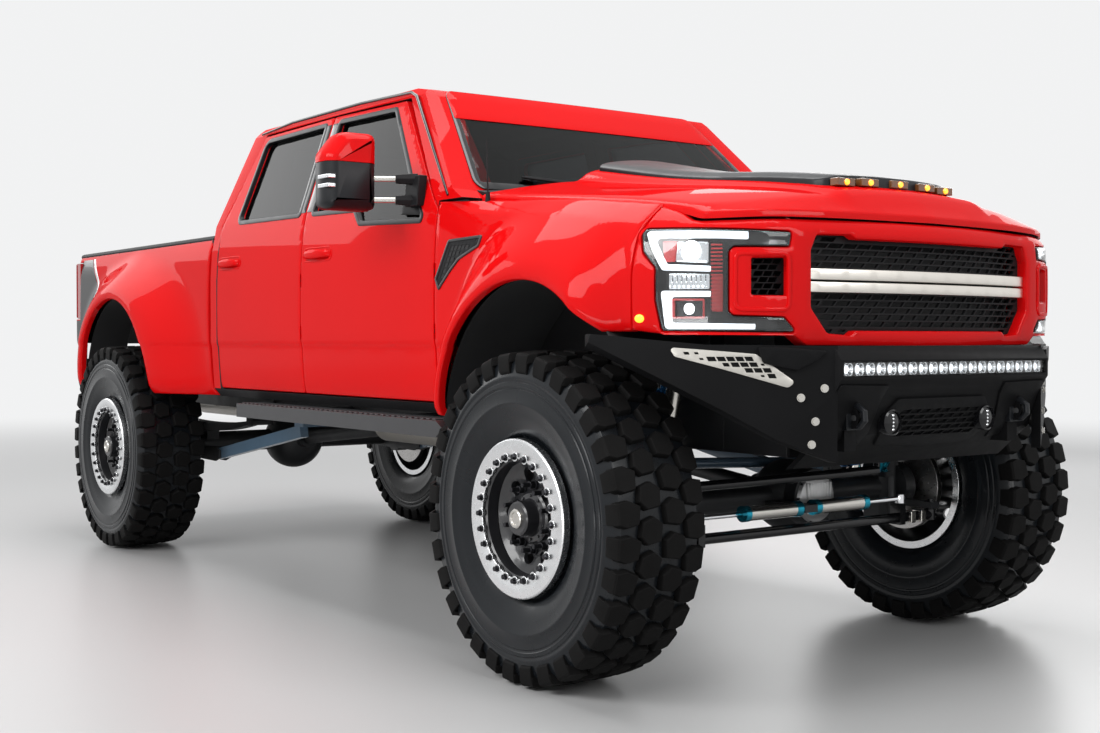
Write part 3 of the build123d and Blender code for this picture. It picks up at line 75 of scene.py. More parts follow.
class Shape:
    """Corners in millimetres and faces, each face with the number of its finish."""

    def __init__(self):
        self.points = []
        self.faces = []
        self.finish = []

    def add(self, points, faces):
        base = len(self.points)
        self.points.extend(tuple(float(c) for c in p) for p in points)
        self.faces.extend(tuple(base + i for i in face) for face in faces)
        self.finish.extend([0] * len(faces))
        return self

    def join(self, other):
        base = len(self.points)
        self.points.extend(other.points)
        self.faces.extend(tuple(base + i for i in face) for face in other.faces)
        self.finish.extend(other.finish)
        return self

    def mirrored(self):
        copy = Shape()
        copy.points = [(x, -y, z) for x, y, z in self.points]
        copy.faces = [tuple(reversed(face)) for face in self.faces]
        copy.finish = list(self.finish)
        return copy

    def both(self):
        return self.join(self.mirrored())

    def rings(self, rings, closed=False):
        """A skin over rings of equal count; open ends are capped, a closed run meets its start."""
        count = len(rings[0])
        points = [p for ring in rings for p in ring]
        faces = []
        spans = len(rings) if closed else len(rings) - 1
        for r in range(spans):
            a, b = r * count, ((r + 1) % len(rings)) * count
            faces += [(a + i, a + (i + 1) % count, b + (i + 1) % count, b + i) for i in range(count)]
        if not closed:
            faces += [tuple(range(count)), tuple(range(len(points) - 1, len(points) - count - 1, -1))]
        return self.add(points, faces)

    def box(self, x0, x1, y0, y1, z0, z1):
        ring = [(x0, y0), (x1, y0), (x1, y1), (x0, y1)]
        return self.rings([[(x, y, z) for x, y in ring] for z in (z0, z1)])

    def across(self, outline, y0, y1):
        """An outline of (x, z) carried from one Y to another."""
        return self.rings([[(x, y, z) for x, z in outline] for y in (y0, y1)])

    def along(self, outline, x0, x1):
        """An outline of (y, z) carried from one X to another."""
        return self.rings([[(x, y, z) for y, z in outline] for x in (x0, x1)])

    def tube(self, path, radius, sides=16):
        """A round tube along a path; radius is one number or one for each point."""
        radii = radius if hasattr(radius, "__len__") else [radius] * len(path)
        path = [Vector(p) for p in path]
        rings = []
        side = None
        for i, p in enumerate(path):
            before = path[i - 1] if i > 0 else p
            after = path[i + 1] if i < len(path) - 1 else p
            heading = (after - before).normalized()
            if side is None:
                guess = Vector((0, 0, 1)) if abs(heading.z) < 0.9 else Vector((1, 0, 0))
                side = heading.cross(guess).normalized()
            side = (side - heading * side.dot(heading)).normalized()
            up = heading.cross(side)
            turn = [2 * math.pi * k / sides for k in range(sides)]
            rings.append([p + (side * math.cos(t) + up * math.sin(t)) * radii[i] for t in turn])
        return self.rings(rings)

    def turned(self, profile, at=(0, 0, 0), axis="y", sides=48, start=0.0, sweep=2 * math.pi):
        """A closed outline of (radius, distance along the axis) turned about a Y or X axis through a point."""
        whole = abs(sweep - 2 * math.pi) < 1e-6
        count = sides if whole else sides + 1
        rings = []
        for k in range(count):
            t = start + sweep * k / sides
            c, s = math.cos(t), math.sin(t)
            if axis == "y":
                rings.append([(at[0] + r * c, at[1] + h, at[2] + r * s) for r, h in profile])
            else:
                rings.append([(at[0] + h, at[1] + r * c, at[2] + r * s) for r, h in profile])
        return self.rings(rings, whole)

    def bolt(self, at, axis, radius, height):
        """A round washer face with a hexagon head, standing on a point along an axis."""
        a = Vector(axis).normalized()
        at = Vector(at)
        self.tube([at, at + a * height * 0.25], radius * 1.25, 12)
        return self.tube([at + a * height * 0.25, at + a * height], radius, 6)


def made(name, shape, finishes, body="root", bevel=0.0, segments=2, smooth=35, slot=None, replaces=()):
    """One piece of the scene from a Shape: its finishes, softened edges and body; the slot argument is not used."""
    mesh = bpy.data.meshes.new(name)
    mesh.from_pydata([(x * MM, y * MM, z * MM) for x, y, z in shape.points], [], shape.faces)
    for finish in finishes.split():
        mesh.materials.append(F[finish])
    mesh.polygons.foreach_set("material_index", shape.finish)
    work = bmesh.new()
    work.from_mesh(mesh)
    bmesh.ops.recalc_face_normals(work, faces=work.faces)
    work.to_mesh(mesh)
    work.free()
    piece = bpy.data.objects.new(name, mesh)
    bpy.context.scene.collection.objects.link(piece)
    if bevel:
        edge = piece.modifiers.new("edge", "BEVEL")
        edge.width = bevel * MM
        edge.segments = segments
        edge.limit_method = "ANGLE"
        edge.angle_limit = math.radians(28)
        edge.harden_normals = True
        for polygon in mesh.polygons:
            polygon.use_smooth = True
        depsgraph = bpy.context.evaluated_depsgraph_get()
        piece.data = bpy.data.meshes.new_from_object(piece.evaluated_get(depsgraph))
        piece.modifiers.clear()
        piece.data.name = name
    else:
        piece.data.shade_smooth()
        piece.data.set_sharp_from_angle(angle=math.radians(smooth))
    if body:
        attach(piece, body)
    if replaces:
        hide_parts(*replaces)
    return piece


# Curves and panels


def curve(knots):
    """A smooth function through (place, value) knots, flat beyond its ends where they are flat."""
    xs = np.array([k[0] for k in knots], float)
    ys = np.array([k[1] for k in knots], float)
    slope = np.diff(ys) / np.diff(xs)
    m = np.zeros(len(xs))
    m[0], m[-1] = slope[0], slope[-1]
    for i in range(1, len(xs) - 1):
        a, b = slope[i - 1], slope[i]
        m[i] = 0.0 if a * b <= 0 else 2 * a * b / (a + b)

    def value(x):
        x = np.asarray(x, float)
        i = np.clip(np.searchsorted(xs, x) - 1, 0, len(xs) - 2)
        h = xs[i + 1] - xs[i]
        t = np.clip((x - xs[i]) / h, 0, 1)
        inside = (
            (1 + 2 * t) * (1 - t) ** 2 * ys[i] + t * (1 - t) ** 2 * h * m[i]
            + t * t * (3 - 2 * t) * ys[i + 1] - t * t * (1 - t) * h * m[i + 1]
        )
        return inside + np.minimum(x - xs[0], 0) * m[0] + np.maximum(x - xs[-1], 0) * m[-1]

    return value


def ramp(x, x0, x1):
    """0 before x0, 1 after x1, and smooth between."""
    t = np.clip((np.asarray(x, float) - x0) / (x1 - x0), 0, 1)
    return t * t * (3 - 2 * t)


def rounded(points, radius=0.0, step=14.0):
    """A closed outline with rounded corners, its runs divided; a point may carry its own radius."""
    out = []
    count = len(points)
    for i, point in enumerate(points):
        p = Vector(point[:2])
        r = point[2] if len(point) > 2 else radius
        a = Vector(points[i - 1][:2]) - p
        b = Vector(points[(i + 1) % count][:2]) - p
        la, lb = a.length, b.length
        a.normalize()
        b.normalize()
        angle = a.angle(b, math.pi)
        if r < 0.5 or angle > math.radians(176):
            out.append(p)
            continue
        reach = min(r / math.tan(angle / 2), 0.48 * la, 0.48 * lb)
        r = reach * math.tan(angle / 2)
        centre = p + (a + b).normalized() * (r / math.sin(angle / 2))
        start, end = p + a * reach - centre, p + b * reach - centre
        turn = math.pi - angle
        sign = 1 if start.x * end.y - start.y * end.x > 0 else -1
        pieces = max(2, math.ceil(turn / 0.3))
        for k in range(pieces + 1):
            t = sign * turn * k / pieces
            c, s = math.cos(t), math.sin(t)
            out.append(centre + Vector((start.x * c - start.y * s, start.x * s + start.y * c)))
    dense = []
    for i, p in enumerate(out):
        q = out[(i + 1) % len(out)]
        pieces = max(1, round((q - p).length / step))
        dense += [p.lerp(q, k / pieces) for k in range(pieces)]
    return np.array([(p.x, p.y) for p in dense])


def arc(cx, cz, radius, start, end, count=40):
    """Points along an arc, its ends in degrees."""
    turn = [math.radians(start + (end - start) * k / count) for k in range(count + 1)]
    return [(cx + radius * math.cos(t), cz + radius * math.sin(t), 0) for t in turn]


def around(count, radius, offset=0.0):
    """Points spread evenly round a circle."""
    turns = [2 * math.pi * (k + offset) / count for k in range(count)]
    return [(radius * math.cos(t), radius * math.sin(t)) for t in turns]


def ellipse(u, v, width, height, count):
    """Points round an ellipse, from its half width and half height."""
    return [(u + width * math.cos(t), v + height * math.sin(t), 0) for t in np.linspace(0, 2 * math.pi, count, False)]


def area(loop):
    x, y = loop[:, 0], loop[:, 1]
    return 0.5 * float(np.sum(x * np.roll(y, -1) - np.roll(x, -1) * y))


def shrunk(loop, by):
    """A loop moved toward its inside."""
    ahead = np.roll(loop, -1, 0) - loop
    ahead /= np.maximum(np.linalg.norm(ahead, axis=1), 1e-9)[:, None]
    mean = ahead + np.roll(ahead, 1, 0)
    mean /= np.maximum(np.linalg.norm(mean, axis=1), 1e-9)[:, None]
    stretch = 1 / np.maximum(np.abs(np.sum(mean * ahead, axis=1)), 0.5)
    inward = np.stack([-mean[:, 1], mean[:, 0]], 1) * (1 if area(loop) > 0 else -1)
    return loop + inward * (by * stretch)[:, None]


def within(points, loop):
    x, y = points[:, 0][:, None], points[:, 1][:, None]
    x0, y0 = loop[:, 0][None], loop[:, 1][None]
    x1, y1 = np.roll(loop[:, 0], -1)[None], np.roll(loop[:, 1], -1)[None]
    crosses = (y0 > y) != (y1 > y)
    rise = np.where(np.abs(y1 - y0) < 1e-9, 1e-9, y1 - y0)
    return (np.sum(crosses & (x < (x1 - x0) * (y - y0) / rise + x0), axis=1) % 2).astype(bool)


def panel(outline, place, depth, holes=(), step=22.0, roll=4.0, back=0, extra=()):
    """A closed sheet over an outline with holes; place(a, b, depth) gives its points in space.

    Its front edge rolls over by a radius, and its back lies depth behind the front, with a finish of its own."""
    shape = Shape()
    loops = [outline] + list(holes)
    inner = [shrunk(outline, roll)] + [shrunk(h, -roll) for h in holes]
    low, high = outline.min(0) + step / 2, outline.max(0)
    grid = np.stack(np.meshgrid(np.arange(low[0], high[0], step), np.arange(low[1], high[1], step)), -1).reshape(-1, 2)
    grid = np.concatenate([grid] + [np.asarray(e, float).reshape(-1, 2) for e in extra])
    keep = within(grid, inner[0])
    for hole in inner[1:]:
        keep &= ~within(grid, hole)
    for loop in inner:
        for part in np.array_split(loop, max(1, len(loop) // 60)):
            away = np.min(np.linalg.norm(grid[:, None] - part[None], axis=2), axis=1)
            keep &= away > 0.55 * min(step, 14.0)
    points = np.concatenate(inner + [grid[keep]])
    edges, base = [], 0
    for loop in inner:
        n = len(loop)
        edges += [(base + i, base + (i + 1) % n) for i in range(n)]
        base += n
    found = geometry.delaunay_2d_cdt([Vector(p) for p in points], edges, [], 0, 1e-5)
    flat = np.array([(v.x, v.y) for v in found[0]])
    where = {source: i for i, sources in enumerate(found[3]) for source in sources}
    faces = np.array([f for f in found[2] if len(f) == 3])
    middle = flat[faces].mean(1)
    keep = within(middle, inner[0])
    for hole in inner[1:]:
        keep &= ~within(middle, hole)
    faces = faces[keep]
    count = len(flat)
    front = place(flat[:, 0], flat[:, 1], np.zeros(count))
    rear = place(flat[:, 0], flat[:, 1], np.full(count, float(depth)))
    shape.add(np.concatenate([front, rear]), [tuple(f) for f in faces])
    shape.faces += [tuple(count + i for i in reversed(f)) for f in faces.tolist()]
    shape.finish += [back] * len(faces)
    base = 0
    for loop, edge in zip(loops, inner):
        n = len(loop)
        ids = [where[base + i] for i in range(n)]
        base += n
        third = loop + (edge - loop) * 0.3
        rims = [
            place(third[:, 0], third[:, 1], np.full(n, 0.286 * roll)),
            place(loop[:, 0], loop[:, 1], np.full(n, float(roll))),
            place(loop[:, 0], loop[:, 1], np.full(n, float(depth))),
        ]
        starts = []
        for rim in rims:
            starts.append(len(shape.points))
            shape.points.extend(tuple(p) for p in rim)
        rows = [ids] + [[s + i for i in range(n)] for s in starts] + [[count + i for i in ids]]
        for a, b in zip(rows, rows[1:]):
            shape.faces += [(a[i], a[(i + 1) % n], b[(i + 1) % n], b[i]) for i in range(n)]
            shape.finish += [0] * n
    return shape


# Body surfaces

SIDE = curve([
    (896, 934), (920, 952), (946, 965), (1040, 976), (1140, 982.5), (1164, 984), (1178, 989.5), (1230, 991.5),
    (1340, 992), (1480, 990.5), (1580, 986.5), (1660, 980), (1730, 970), (1785, 958), (1860, 933), (2242, 806),
])
FENDER_CREASE = curve([(1344, 1706), (1800, 1668), (2250, 1624), (2604, 1562), (2660, 1552)])
FENDER_TOP = curve([(1344, 1748), (1800, 1722), (2250, 1690), (2604, 1648), (2660, 1640)])


def flare(x, z, arch):
    """How far a wide flare lifts the side around its arch."""
    cx, cz, radius, lip = ARCHES[arch]
    dx, dz = x - cx, z - cz
    r = np.hypot(dx, dz)
    turn = np.degrees(np.arctan2(dz, dx))
    if arch == "front":
        spread = 210 + 110 * ramp(turn, 150, 100)
        fade = 1 - ramp(x, 2430, 2606)
    else:
        spread = 290 + 200 * ramp(np.abs(turn - 90), 10, 70)
        fade = 1.0
    t = np.clip((radius + spread - r) / spread, 0, 1)
    edge = np.clip((radius + 30 - r) / 30, 0, 1)
    return (lip - BODY_Y) * t * t * (3 - 2 * t) * fade - 9 * edge ** 2


def side_y(x, z):
    """Half width of the body's side."""
    x, z = np.asarray(x, float), np.asarray(z, float)
    y = SIDE(z)
    crease, top = FENDER_CREASE(x), FENDER_TOP(x)
    drop = np.clip((z - crease + SHOULDER_TALL) / SHOULDER_TALL, 0, 1)
    cheek = 30 * ramp(x, 2200, 2610) * ramp(z, 1150, 1260)
    shoulder = BODY_Y - 42 * drop ** 2 + cheek
    over = np.clip((z - crease) / (top - crease), 0, 1)
    shoulder = shoulder - (shoulder - HOOD_Y - GAP) * over ** 1.15
    front = np.where(z < crease - SHOULDER_TALL, np.minimum(y, BODY_Y) + cheek, shoulder)
    y = y + (front - y) * ramp(x, DOOR_FRONT_X - 20, DOOR_FRONT_X + 420) * (x > DOOR_FRONT_X - 20)
    bed = SIDE(np.minimum(z, BED_LEAN_Z)) - 40 * np.clip((z - BED_LEAN_Z) / 175, 0, 1) ** 2
    y = np.where(x < BED_FRONT_X, bed, y)
    return y + np.where(x > 0, flare(x, z, "front"), flare(x, z, "rear"))


def on_side(x, z, depth):
    return np.stack([x, side_y(x, z) - depth, z], 1)


# Finishes


def shader_node(tree, kind, values=(), sources=()):
    """A new node in a tree: values and sources are (input, value or output) pairs."""
    node = tree.nodes.new("ShaderNode" + kind)
    for socket, value in values:
        node.inputs[socket].default_value = value
    for socket, source in sources:
        tree.links.new(source, node.inputs[socket])
    return node


class Finish:
    """A procedural finish: a base colour with slow variation, fine bump and uneven roughness."""

    def __init__(self, name, color, rough=0.5, metal=0.0, coat=0.0, coat_rough=0.03, specular=0.5):
        self.material = bpy.data.materials.new(name)
        self.material.use_nodes = True
        self.tree = self.material.node_tree
        self.shader = self.tree.nodes["Principled BSDF"]
        self.color = color
        self.rough = rough
        self.place = shader_node(self.tree, "TexCoord").outputs["Object"]
        self.last_bump = None
        for socket, value in (
            ("Base Color", (*color, 1)), ("Roughness", rough), ("Metallic", metal), ("Coat Weight", coat),
            ("Coat Roughness", coat_rough), ("Specular IOR Level", specular),
        ):
            self.shader.inputs[socket].default_value = value

    def noise(self, scale, detail=2.0, stretch=None):
        source = self.place
        if stretch:
            squeeze = shader_node(self.tree, "Mapping", [("Scale", stretch)], [("Vector", source)])
            source = squeeze.outputs["Vector"]
        values = [("Scale", scale), ("Detail", detail)]
        return shader_node(self.tree, "TexNoise", values, [("Vector", source)]).outputs["Fac"]

    def vary(self, amount, scale, detail=2.0, stretch=None):
        """The colour drifts between darker and lighter."""
        mix = shader_node(self.tree, "Mix")
        mix.data_type = "RGBA"
        dark = [c * (1 - amount) for c in self.color]
        light = [min(c * (1 + amount), 1) for c in self.color]
        mix.inputs["A"].default_value = (*dark, 1)
        mix.inputs["B"].default_value = (*light, 1)
        self.tree.links.new(self.noise(scale, detail, stretch), mix.inputs["Factor"])
        self.tree.links.new(mix.outputs["Result"], self.shader.inputs["Base Color"])
        return self

    def uneven(self, low, high, scale, stretch=None):
        """Roughness between two values."""
        values = [("To Min", low), ("To Max", high)]
        span = shader_node(self.tree, "MapRange", values, [("Value", self.noise(scale, 3.0, stretch))])
        self.tree.links.new(span.outputs["Result"], self.shader.inputs["Roughness"])
        return self

    def bump(self, scale, depth, strength=0.5, stretch=None, detail=2.0, kind="noise"):
        """Fine relief, its depth in millimetres."""
        if kind == "noise":
            height = self.noise(scale, detail, stretch)
        else:
            cells = shader_node(self.tree, "TexVoronoi", [("Scale", scale)], [("Vector", self.place)])
            height = cells.outputs["Distance"]
        sources = [("Height", height)] + ([("Normal", self.last_bump)] if self.last_bump else [])
        values = [("Strength", strength), ("Distance", depth * MM)]
        self.last_bump = shader_node(self.tree, "Bump", values, sources).outputs["Normal"]
        self.tree.links.new(self.last_bump, self.shader.inputs["Normal"])
        return self

    def glow(self, color, strength):
        self.shader.inputs["Emission Color"].default_value = (*color, 1)
        self.shader.inputs["Emission Strength"].default_value = strength
        return self

    def clear(self, ior):
        self.shader.inputs["Transmission Weight"].default_value = 1.0
        self.shader.inputs["IOR"].default_value = ior
        return self


def finishes():
    red = (0.68, 0.004, 0.005)
    f = {
        "paint": Finish("red_paint", red, 0.45, 0, 0.25, 0.02, 0.0).vary(0.05, 1.3).bump(900, 0.02, 0.12),
        "inner": Finish("liner_black", (0.012, 0.012, 0.013), 0.75).vary(0.25, 9).bump(240, 0.4, 0.5),
        "gloss": Finish("gloss_black", (0.006, 0.006, 0.007), 0.16, 0, 0.25, 0.03, 0.3).vary(0.15, 3),
        "steel": Finish("powder_black", (0.006, 0.006, 0.0065), 0.5, 0, 0, 0.03, 0.08).vary(0.2, 6)
        .bump(520, 0.25, 0.5).uneven(0.42, 0.58, 22),
        "plastic": Finish("grained_black", (0.011, 0.011, 0.012), 0.52, 0, 0, 0.03, 0.12).vary(0.2, 12)
        .bump(420, 0.2, 0.5, kind="cells"),
        "satin": Finish("satin_black", (0.010, 0.011, 0.013), 0.34, 0, 0, 0.03, 0.25).vary(0.2, 5)
        .uneven(0.28, 0.4, 14).bump(600, 0.05, 0.2),
        "tread": Finish("tread_rubber", (0.0055, 0.0053, 0.0053), 0.6, 0, 0, 0.03, 0.08).vary(0.3, 14, 4)
        .bump(160, 0.5, 0.45, detail=4).uneven(0.55, 0.75, 18),
        "sidewall": Finish("sidewall_rubber", (0.007, 0.0085, 0.0105), 0.3, 0, 0.12, 0.12, 0.2).vary(0.3, 7)
        .uneven(0.2, 0.36, 6).bump(300, 0.1, 0.25),
        "machined": Finish("machined_ring", (0.78, 0.79, 0.8), 0.24, 1.0).vary(0.06, 30, 3)
        .uneven(0.17, 0.34, 60).bump(500, 0.05, 0.2),
        "wheel": Finish("wheel_black", (0.014, 0.014, 0.016), 0.3, 0, 0.4, 0.1).vary(0.2, 12).bump(300, 0.08, 0.3),
        "bolt": Finish("bolt_black", (0.03, 0.03, 0.034), 0.28, 0.8).vary(0.3, 60).uneven(0.2, 0.4, 70),
        "chrome": Finish("bright_metal", (0.82, 0.83, 0.85), 0.12, 1.0).vary(0.04, 20).uneven(0.08, 0.18, 30),
        "brushed": Finish("brushed_bar", (0.80, 0.76, 0.70), 0.3, 1.0).vary(0.07, 30, 3, (1, 1, 30))
        .uneven(0.22, 0.4, 20, (1, 0.05, 40)).bump(40, 0.08, 0.3, (1, 0.1, 40)),
        "silver": Finish("silver_mesh", (0.55, 0.53, 0.49), 0.42, 0.85).vary(0.08, 40).bump(500, 0.1, 0.3),
        "glass": Finish("tinted_glass", (0.03, 0.033, 0.036), 0.02, 0).clear(1.18).vary(0.1, 2),
        "screen": Finish("screen_glass", (0.22, 0.24, 0.24), 0.01, 0).clear(1.18).vary(0.05, 2),
        "lens": Finish("lamp_lens", (0.92, 0.94, 0.95), 0.01, 0).clear(1.45).vary(0.03, 4),
        "led": Finish("led_white", (0.9, 0.93, 1.0), 0.3).glow((0.92, 0.96, 1.0), 1.2).vary(0.04, 30),
        "bright": Finish("projector_glow", (0.95, 0.97, 1.0), 0.1).glow((0.95, 0.98, 1.0), 5.0).vary(0.02, 20),
        "amber": Finish("amber_lamp", (0.9, 0.28, 0.02), 0.15, 0, 0.6).glow((1.0, 0.36, 0.03), 2.2).vary(0.1, 60),
        "smoked": Finish("smoked_lens", (0.16, 0.07, 0.02), 0.08, 0, 0.8).vary(0.3, 20),
        "ruby": Finish("red_lens", (0.36, 0.004, 0.006), 0.08, 0, 0.8).vary(0.2, 30)
        .bump(260, 0.3, 0.4, kind="cells"),
        "blue": Finish("blue_anodised", (0.01, 0.16, 0.42), 0.25, 0.9).vary(0.2, 30).uneven(0.18, 0.34, 30),
        "teal": Finish("teal_anodised", (0.02, 0.30, 0.42), 0.22, 0.9).vary(0.2, 30).uneven(0.16, 0.3, 30),
        "polished": Finish("polished_tube", (0.62, 0.60, 0.56), 0.22, 1.0).vary(0.08, 40)
        .uneven(0.16, 0.3, 40, (1, 1, 8)),
        "link": Finish("link_paint", (0.085, 0.14, 0.2), 0.3, 0.1, 0.5, 0.08).vary(0.12, 8).bump(300, 0.06, 0.25),
        "chassis": Finish("chassis_black", (0.010, 0.010, 0.011), 0.42, 0, 0, 0.03, 0.3).vary(0.3, 7)
        .uneven(0.34, 0.55, 9).bump(200, 0.2, 0.35),
        "iron": Finish("axle_iron", (0.02, 0.021, 0.023), 0.45, 0.3).vary(0.35, 12).uneven(0.35, 0.6, 12)
        .bump(120, 0.6, 0.45, detail=4),
        "engine": Finish("engine_iron", (0.11, 0.11, 0.115), 0.55, 0.5).vary(0.3, 12).bump(90, 0.7, 0.5, detail=4),
        "exhaust": Finish("exhaust_steel", (0.36, 0.34, 0.31), 0.38, 1.0).vary(0.25, 6, 4).uneven(0.3, 0.5, 12)
        .bump(60, 0.3, 0.3),
        "finned": Finish("finned_cover", (0.5, 0.5, 0.5), 0.4, 0.9).vary(0.1, 30).bump(200, 0.2, 0.3),
        "board": Finish("board_tread", (0.05, 0.05, 0.053), 0.55).vary(0.2, 15).bump(140, 0.8, 0.6, kind="cells"),
        "boardside": Finish("board_side", (0.05, 0.05, 0.053), 0.4, 0.4).vary(0.1, 15).bump(300, 0.08, 0.3),
        "liner": Finish("bed_liner", (0.02, 0.02, 0.021), 0.7).vary(0.25, 10).bump(170, 1.2, 0.8, detail=4),
        "leather": Finish("seat_leather", (0.022, 0.02, 0.019), 0.46).vary(0.25, 8).bump(220, 0.4, 0.5, kind="cells"),
        "dash": Finish("dash_grain", (0.02, 0.02, 0.021), 0.55).vary(0.2, 9).bump(330, 0.25, 0.5, kind="cells"),
        "carpet": Finish("carpet", (0.018, 0.018, 0.019), 0.95).vary(0.4, 60).bump(500, 1.5, 0.8, detail=4),
        "graphic": Finish("dark_graphic", (0.012, 0.012, 0.013), 0.3, 0, 0.2, 0.03, 0.2).vary(0.35, 3),
        "stripe": Finish("silver_stripe", (0.55, 0.56, 0.57), 0.28, 0.6, 0.7, 0.03).vary(0.06, 10),
        "disc": Finish("disc_steel", (0.45, 0.44, 0.43), 0.3, 1.0).vary(0.12, 20).uneven(0.2, 0.4, 90),
        "red_part": Finish("red_caliper", (0.5, 0.01, 0.012), 0.3, 0, 0.5).vary(0.1, 20).bump(200, 0.1, 0.3),
    }
    return {name: finish.material for name, finish in f.items()}


F = finishes()


# Stage: floor, camera and lights

ROOM_LIGHT = (("Color", (0.93, 0.935, 0.94, 1)), ("Strength", 0.95))
SOFT_LIGHT = (("Color", (0.86, 0.88, 0.9, 1)), ("Strength", 0.14))
FADE_FROM, FADE_TO = 5.0, 17.0
FLOOR_REACH = 40.0
LAMPS = (
    # name, place in metres, aim, size, power
    ("key", (2.4, -7.6, 5.6), (0.4, 0, 1.0), (9.0, 3.0), 620),
    ("nose", (9.0, 1.0, 4.4), (2.4, 0, 1.1), (3.6, 3.0), 190),
    ("top", (0.0, 0.0, 7.0), (0, 0, 0), (9.0, 3.6), 420),
    ("far", (-2.0, 8.5, 4.0), (0, 0, 1.2), (9.0, 3.0), 270),
    ("tail", (-9.5, -3.0, 5.0), (-1.5, 0, 1.1), (6.0, 4.0), 180),
    ("low", (5.2, -5.6, 0.6), (2.0, -0.6, 0.8), (3.4, 0.8), 45),
)


def seen_directly(tree):
    """1 for rays from the camera, also by way of a mirror or glass."""
    path = shader_node(tree, "LightPath")
    total = path.outputs["Is Camera Ray"]
    for kind in ("Is Glossy Ray", "Is Transmission Ray"):
        add = shader_node(tree, "Math", sources=[(0, total), (1, path.outputs[kind])])
        add.operation = "ADD"
        add.use_clamp = True
        total = add.outputs["Value"]
    return total


def fading_floor():
    """The floor's material: plain and pale, fading into the pale room far from the truck."""
    matt = Finish("pale_floor", (0.5, 0.5, 0.5), 0.36).vary(0.02, 0.5)
    tree = matt.tree
    place = shader_node(tree, "NewGeometry")
    far = shader_node(tree, "VectorMath", sources=[(0, place.outputs["Position"])])
    far.operation = "LENGTH"
    span = shader_node(
        tree, "MapRange", [("From Min", FADE_FROM), ("From Max", FADE_TO)], [("Value", far.outputs["Value"])],
    )
    span.interpolation_type = "SMOOTHSTEP"
    share = shader_node(tree, "Math", sources=[(0, span.outputs["Result"]), (1, seen_directly(tree))])
    share.operation = "MULTIPLY"
    haze = shader_node(tree, "Emission", ROOM_LIGHT)
    mix = shader_node(tree, "MixShader", sources=[
        ("Fac", share.outputs["Value"]), (1, matt.shader.outputs["BSDF"]), (2, haze.outputs["Emission"]),
    ])
    tree.links.new(mix.outputs["Shader"], tree.nodes["Material Output"].inputs["Surface"])
    return matt.material


def pale_room():
    """A world that lights softly, and looks pale where it is seen."""
    world = bpy.data.worlds.new("pale_room")
    bpy.context.scene.world = world
    world.use_nodes = True
    tree = world.node_tree
    back = tree.nodes["Background"]
    for socket, value in SOFT_LIGHT:
        back.inputs[socket].default_value = value
    seen = shader_node(tree, "Background", ROOM_LIGHT)
    mix = shader_node(tree, "MixShader", sources=[
        ("Fac", seen_directly(tree)), (1, back.outputs["Background"]), (2, seen.outputs["Background"]),
    ])
    tree.links.new(mix.outputs["Shader"], tree.nodes["World Output"].inputs["Surface"])


def stage():
    floor = bpy.data.meshes.new("floor")
    corners = [(a * FLOOR_REACH, b * FLOOR_REACH, 0) for a, b in ((-1, -1), (1, -1), (1, 1), (-1, 1))]
    floor.from_pydata(corners, [], [(0, 1, 2, 3)])
    ground = bpy.data.objects.new("floor", floor)
    bpy.context.scene.collection.objects.link(ground)
    floor.materials.append(fading_floor())
    pale_room()
    for name, at, aim, size, power in LAMPS:
        data = bpy.data.lights.new(name, "AREA")
        data.shape = "RECTANGLE"
        data.size, data.size_y = size
        data.energy = power
        lamp = bpy.data.objects.new(name, data)
        lamp.location = at
        lamp.rotation_euler = (Vector(aim) - Vector(at)).to_track_quat("-Z", "Y").to_euler()
        bpy.context.scene.collection.objects.link(lamp)
    view = bpy.data.cameras.new("photo_view")
    view.lens = CAMERA_LENS
    view.sensor_width = 36
    view.sensor_fit = "HORIZONTAL"
    view.clip_end = 200
    camera = bpy.data.objects.new("photo_view", view)
    camera.location = [c * MM for c in CAMERA_AT]
    camera.rotation_euler = (math.radians(90 + CAMERA_PITCH), 0, math.radians(CAMERA_YAW - 90))
    bpy.context.scene.collection.objects.link(camera)
    bpy.context.scene.camera = camera
    bpy.context.scene.view_settings.view_transform = "Standard"


stage()

# Wheels

PITCHES = 32
TREAD_BLOCKS = [
    # outline of one block in (share of a pitch, distance across the tyre)
    [(0.06, 179), (0.70, 179), (0.80, 150), (0.72, 102), (0.18, 92), (0.00, 138)],
    [(0.64, 88), (1.08, 97), (1.32, 68), (1.24, 12), (0.72, 5), (0.50, 42)],
]
SHOULDER = (0.06, 0.70)
LUG_FLANK = ((572, 172), (566, 181), (548, TYRE_HALF - 1), (508, TYRE_HALF - 2), (500, 178), (504, 166), (560, 150))


def tread():
    """Open block tread: two rows each side of a zigzag groove, and lugs that run down the shoulder."""
    shape = Shape()
    for side, shift in ((1, 0.0), (-1, 0.5)):
        for k in range(PITCHES):
            for outline in TREAD_BLOCKS:
                middle = np.mean(outline, axis=0)
                rings = []
                for radius, scale in ((548, 1.10), (572, 1.0), (TYRE_R, 0.93)):
                    ring = []
                    for u, v in outline:
                        u = middle[0] + (u - middle[0]) * scale
                        v = middle[1] + (v - middle[1]) * scale
                        turn = 2 * math.pi * (k + shift + u) / PITCHES
                        r = radius - 10 * (v / TYRE_HALF) ** 3
                        ring.append((r * math.cos(turn), side * v, r * math.sin(turn)))
                    rings.append(ring)
                shape.rings(rings)
            # The lug's flank on the sidewall
            rings = []
            for radius, y in LUG_FLANK:
                ring = []
                for share in SHOULDER:
                    turn = 2 * math.pi * (k + shift + share) / PITCHES
                    ring.append((radius * math.cos(turn), side * y, radius * math.sin(turn)))
                rings.append(ring)
            shape.rings([[r[0] for r in rings], [r[1] for r in rings]])
    return shape


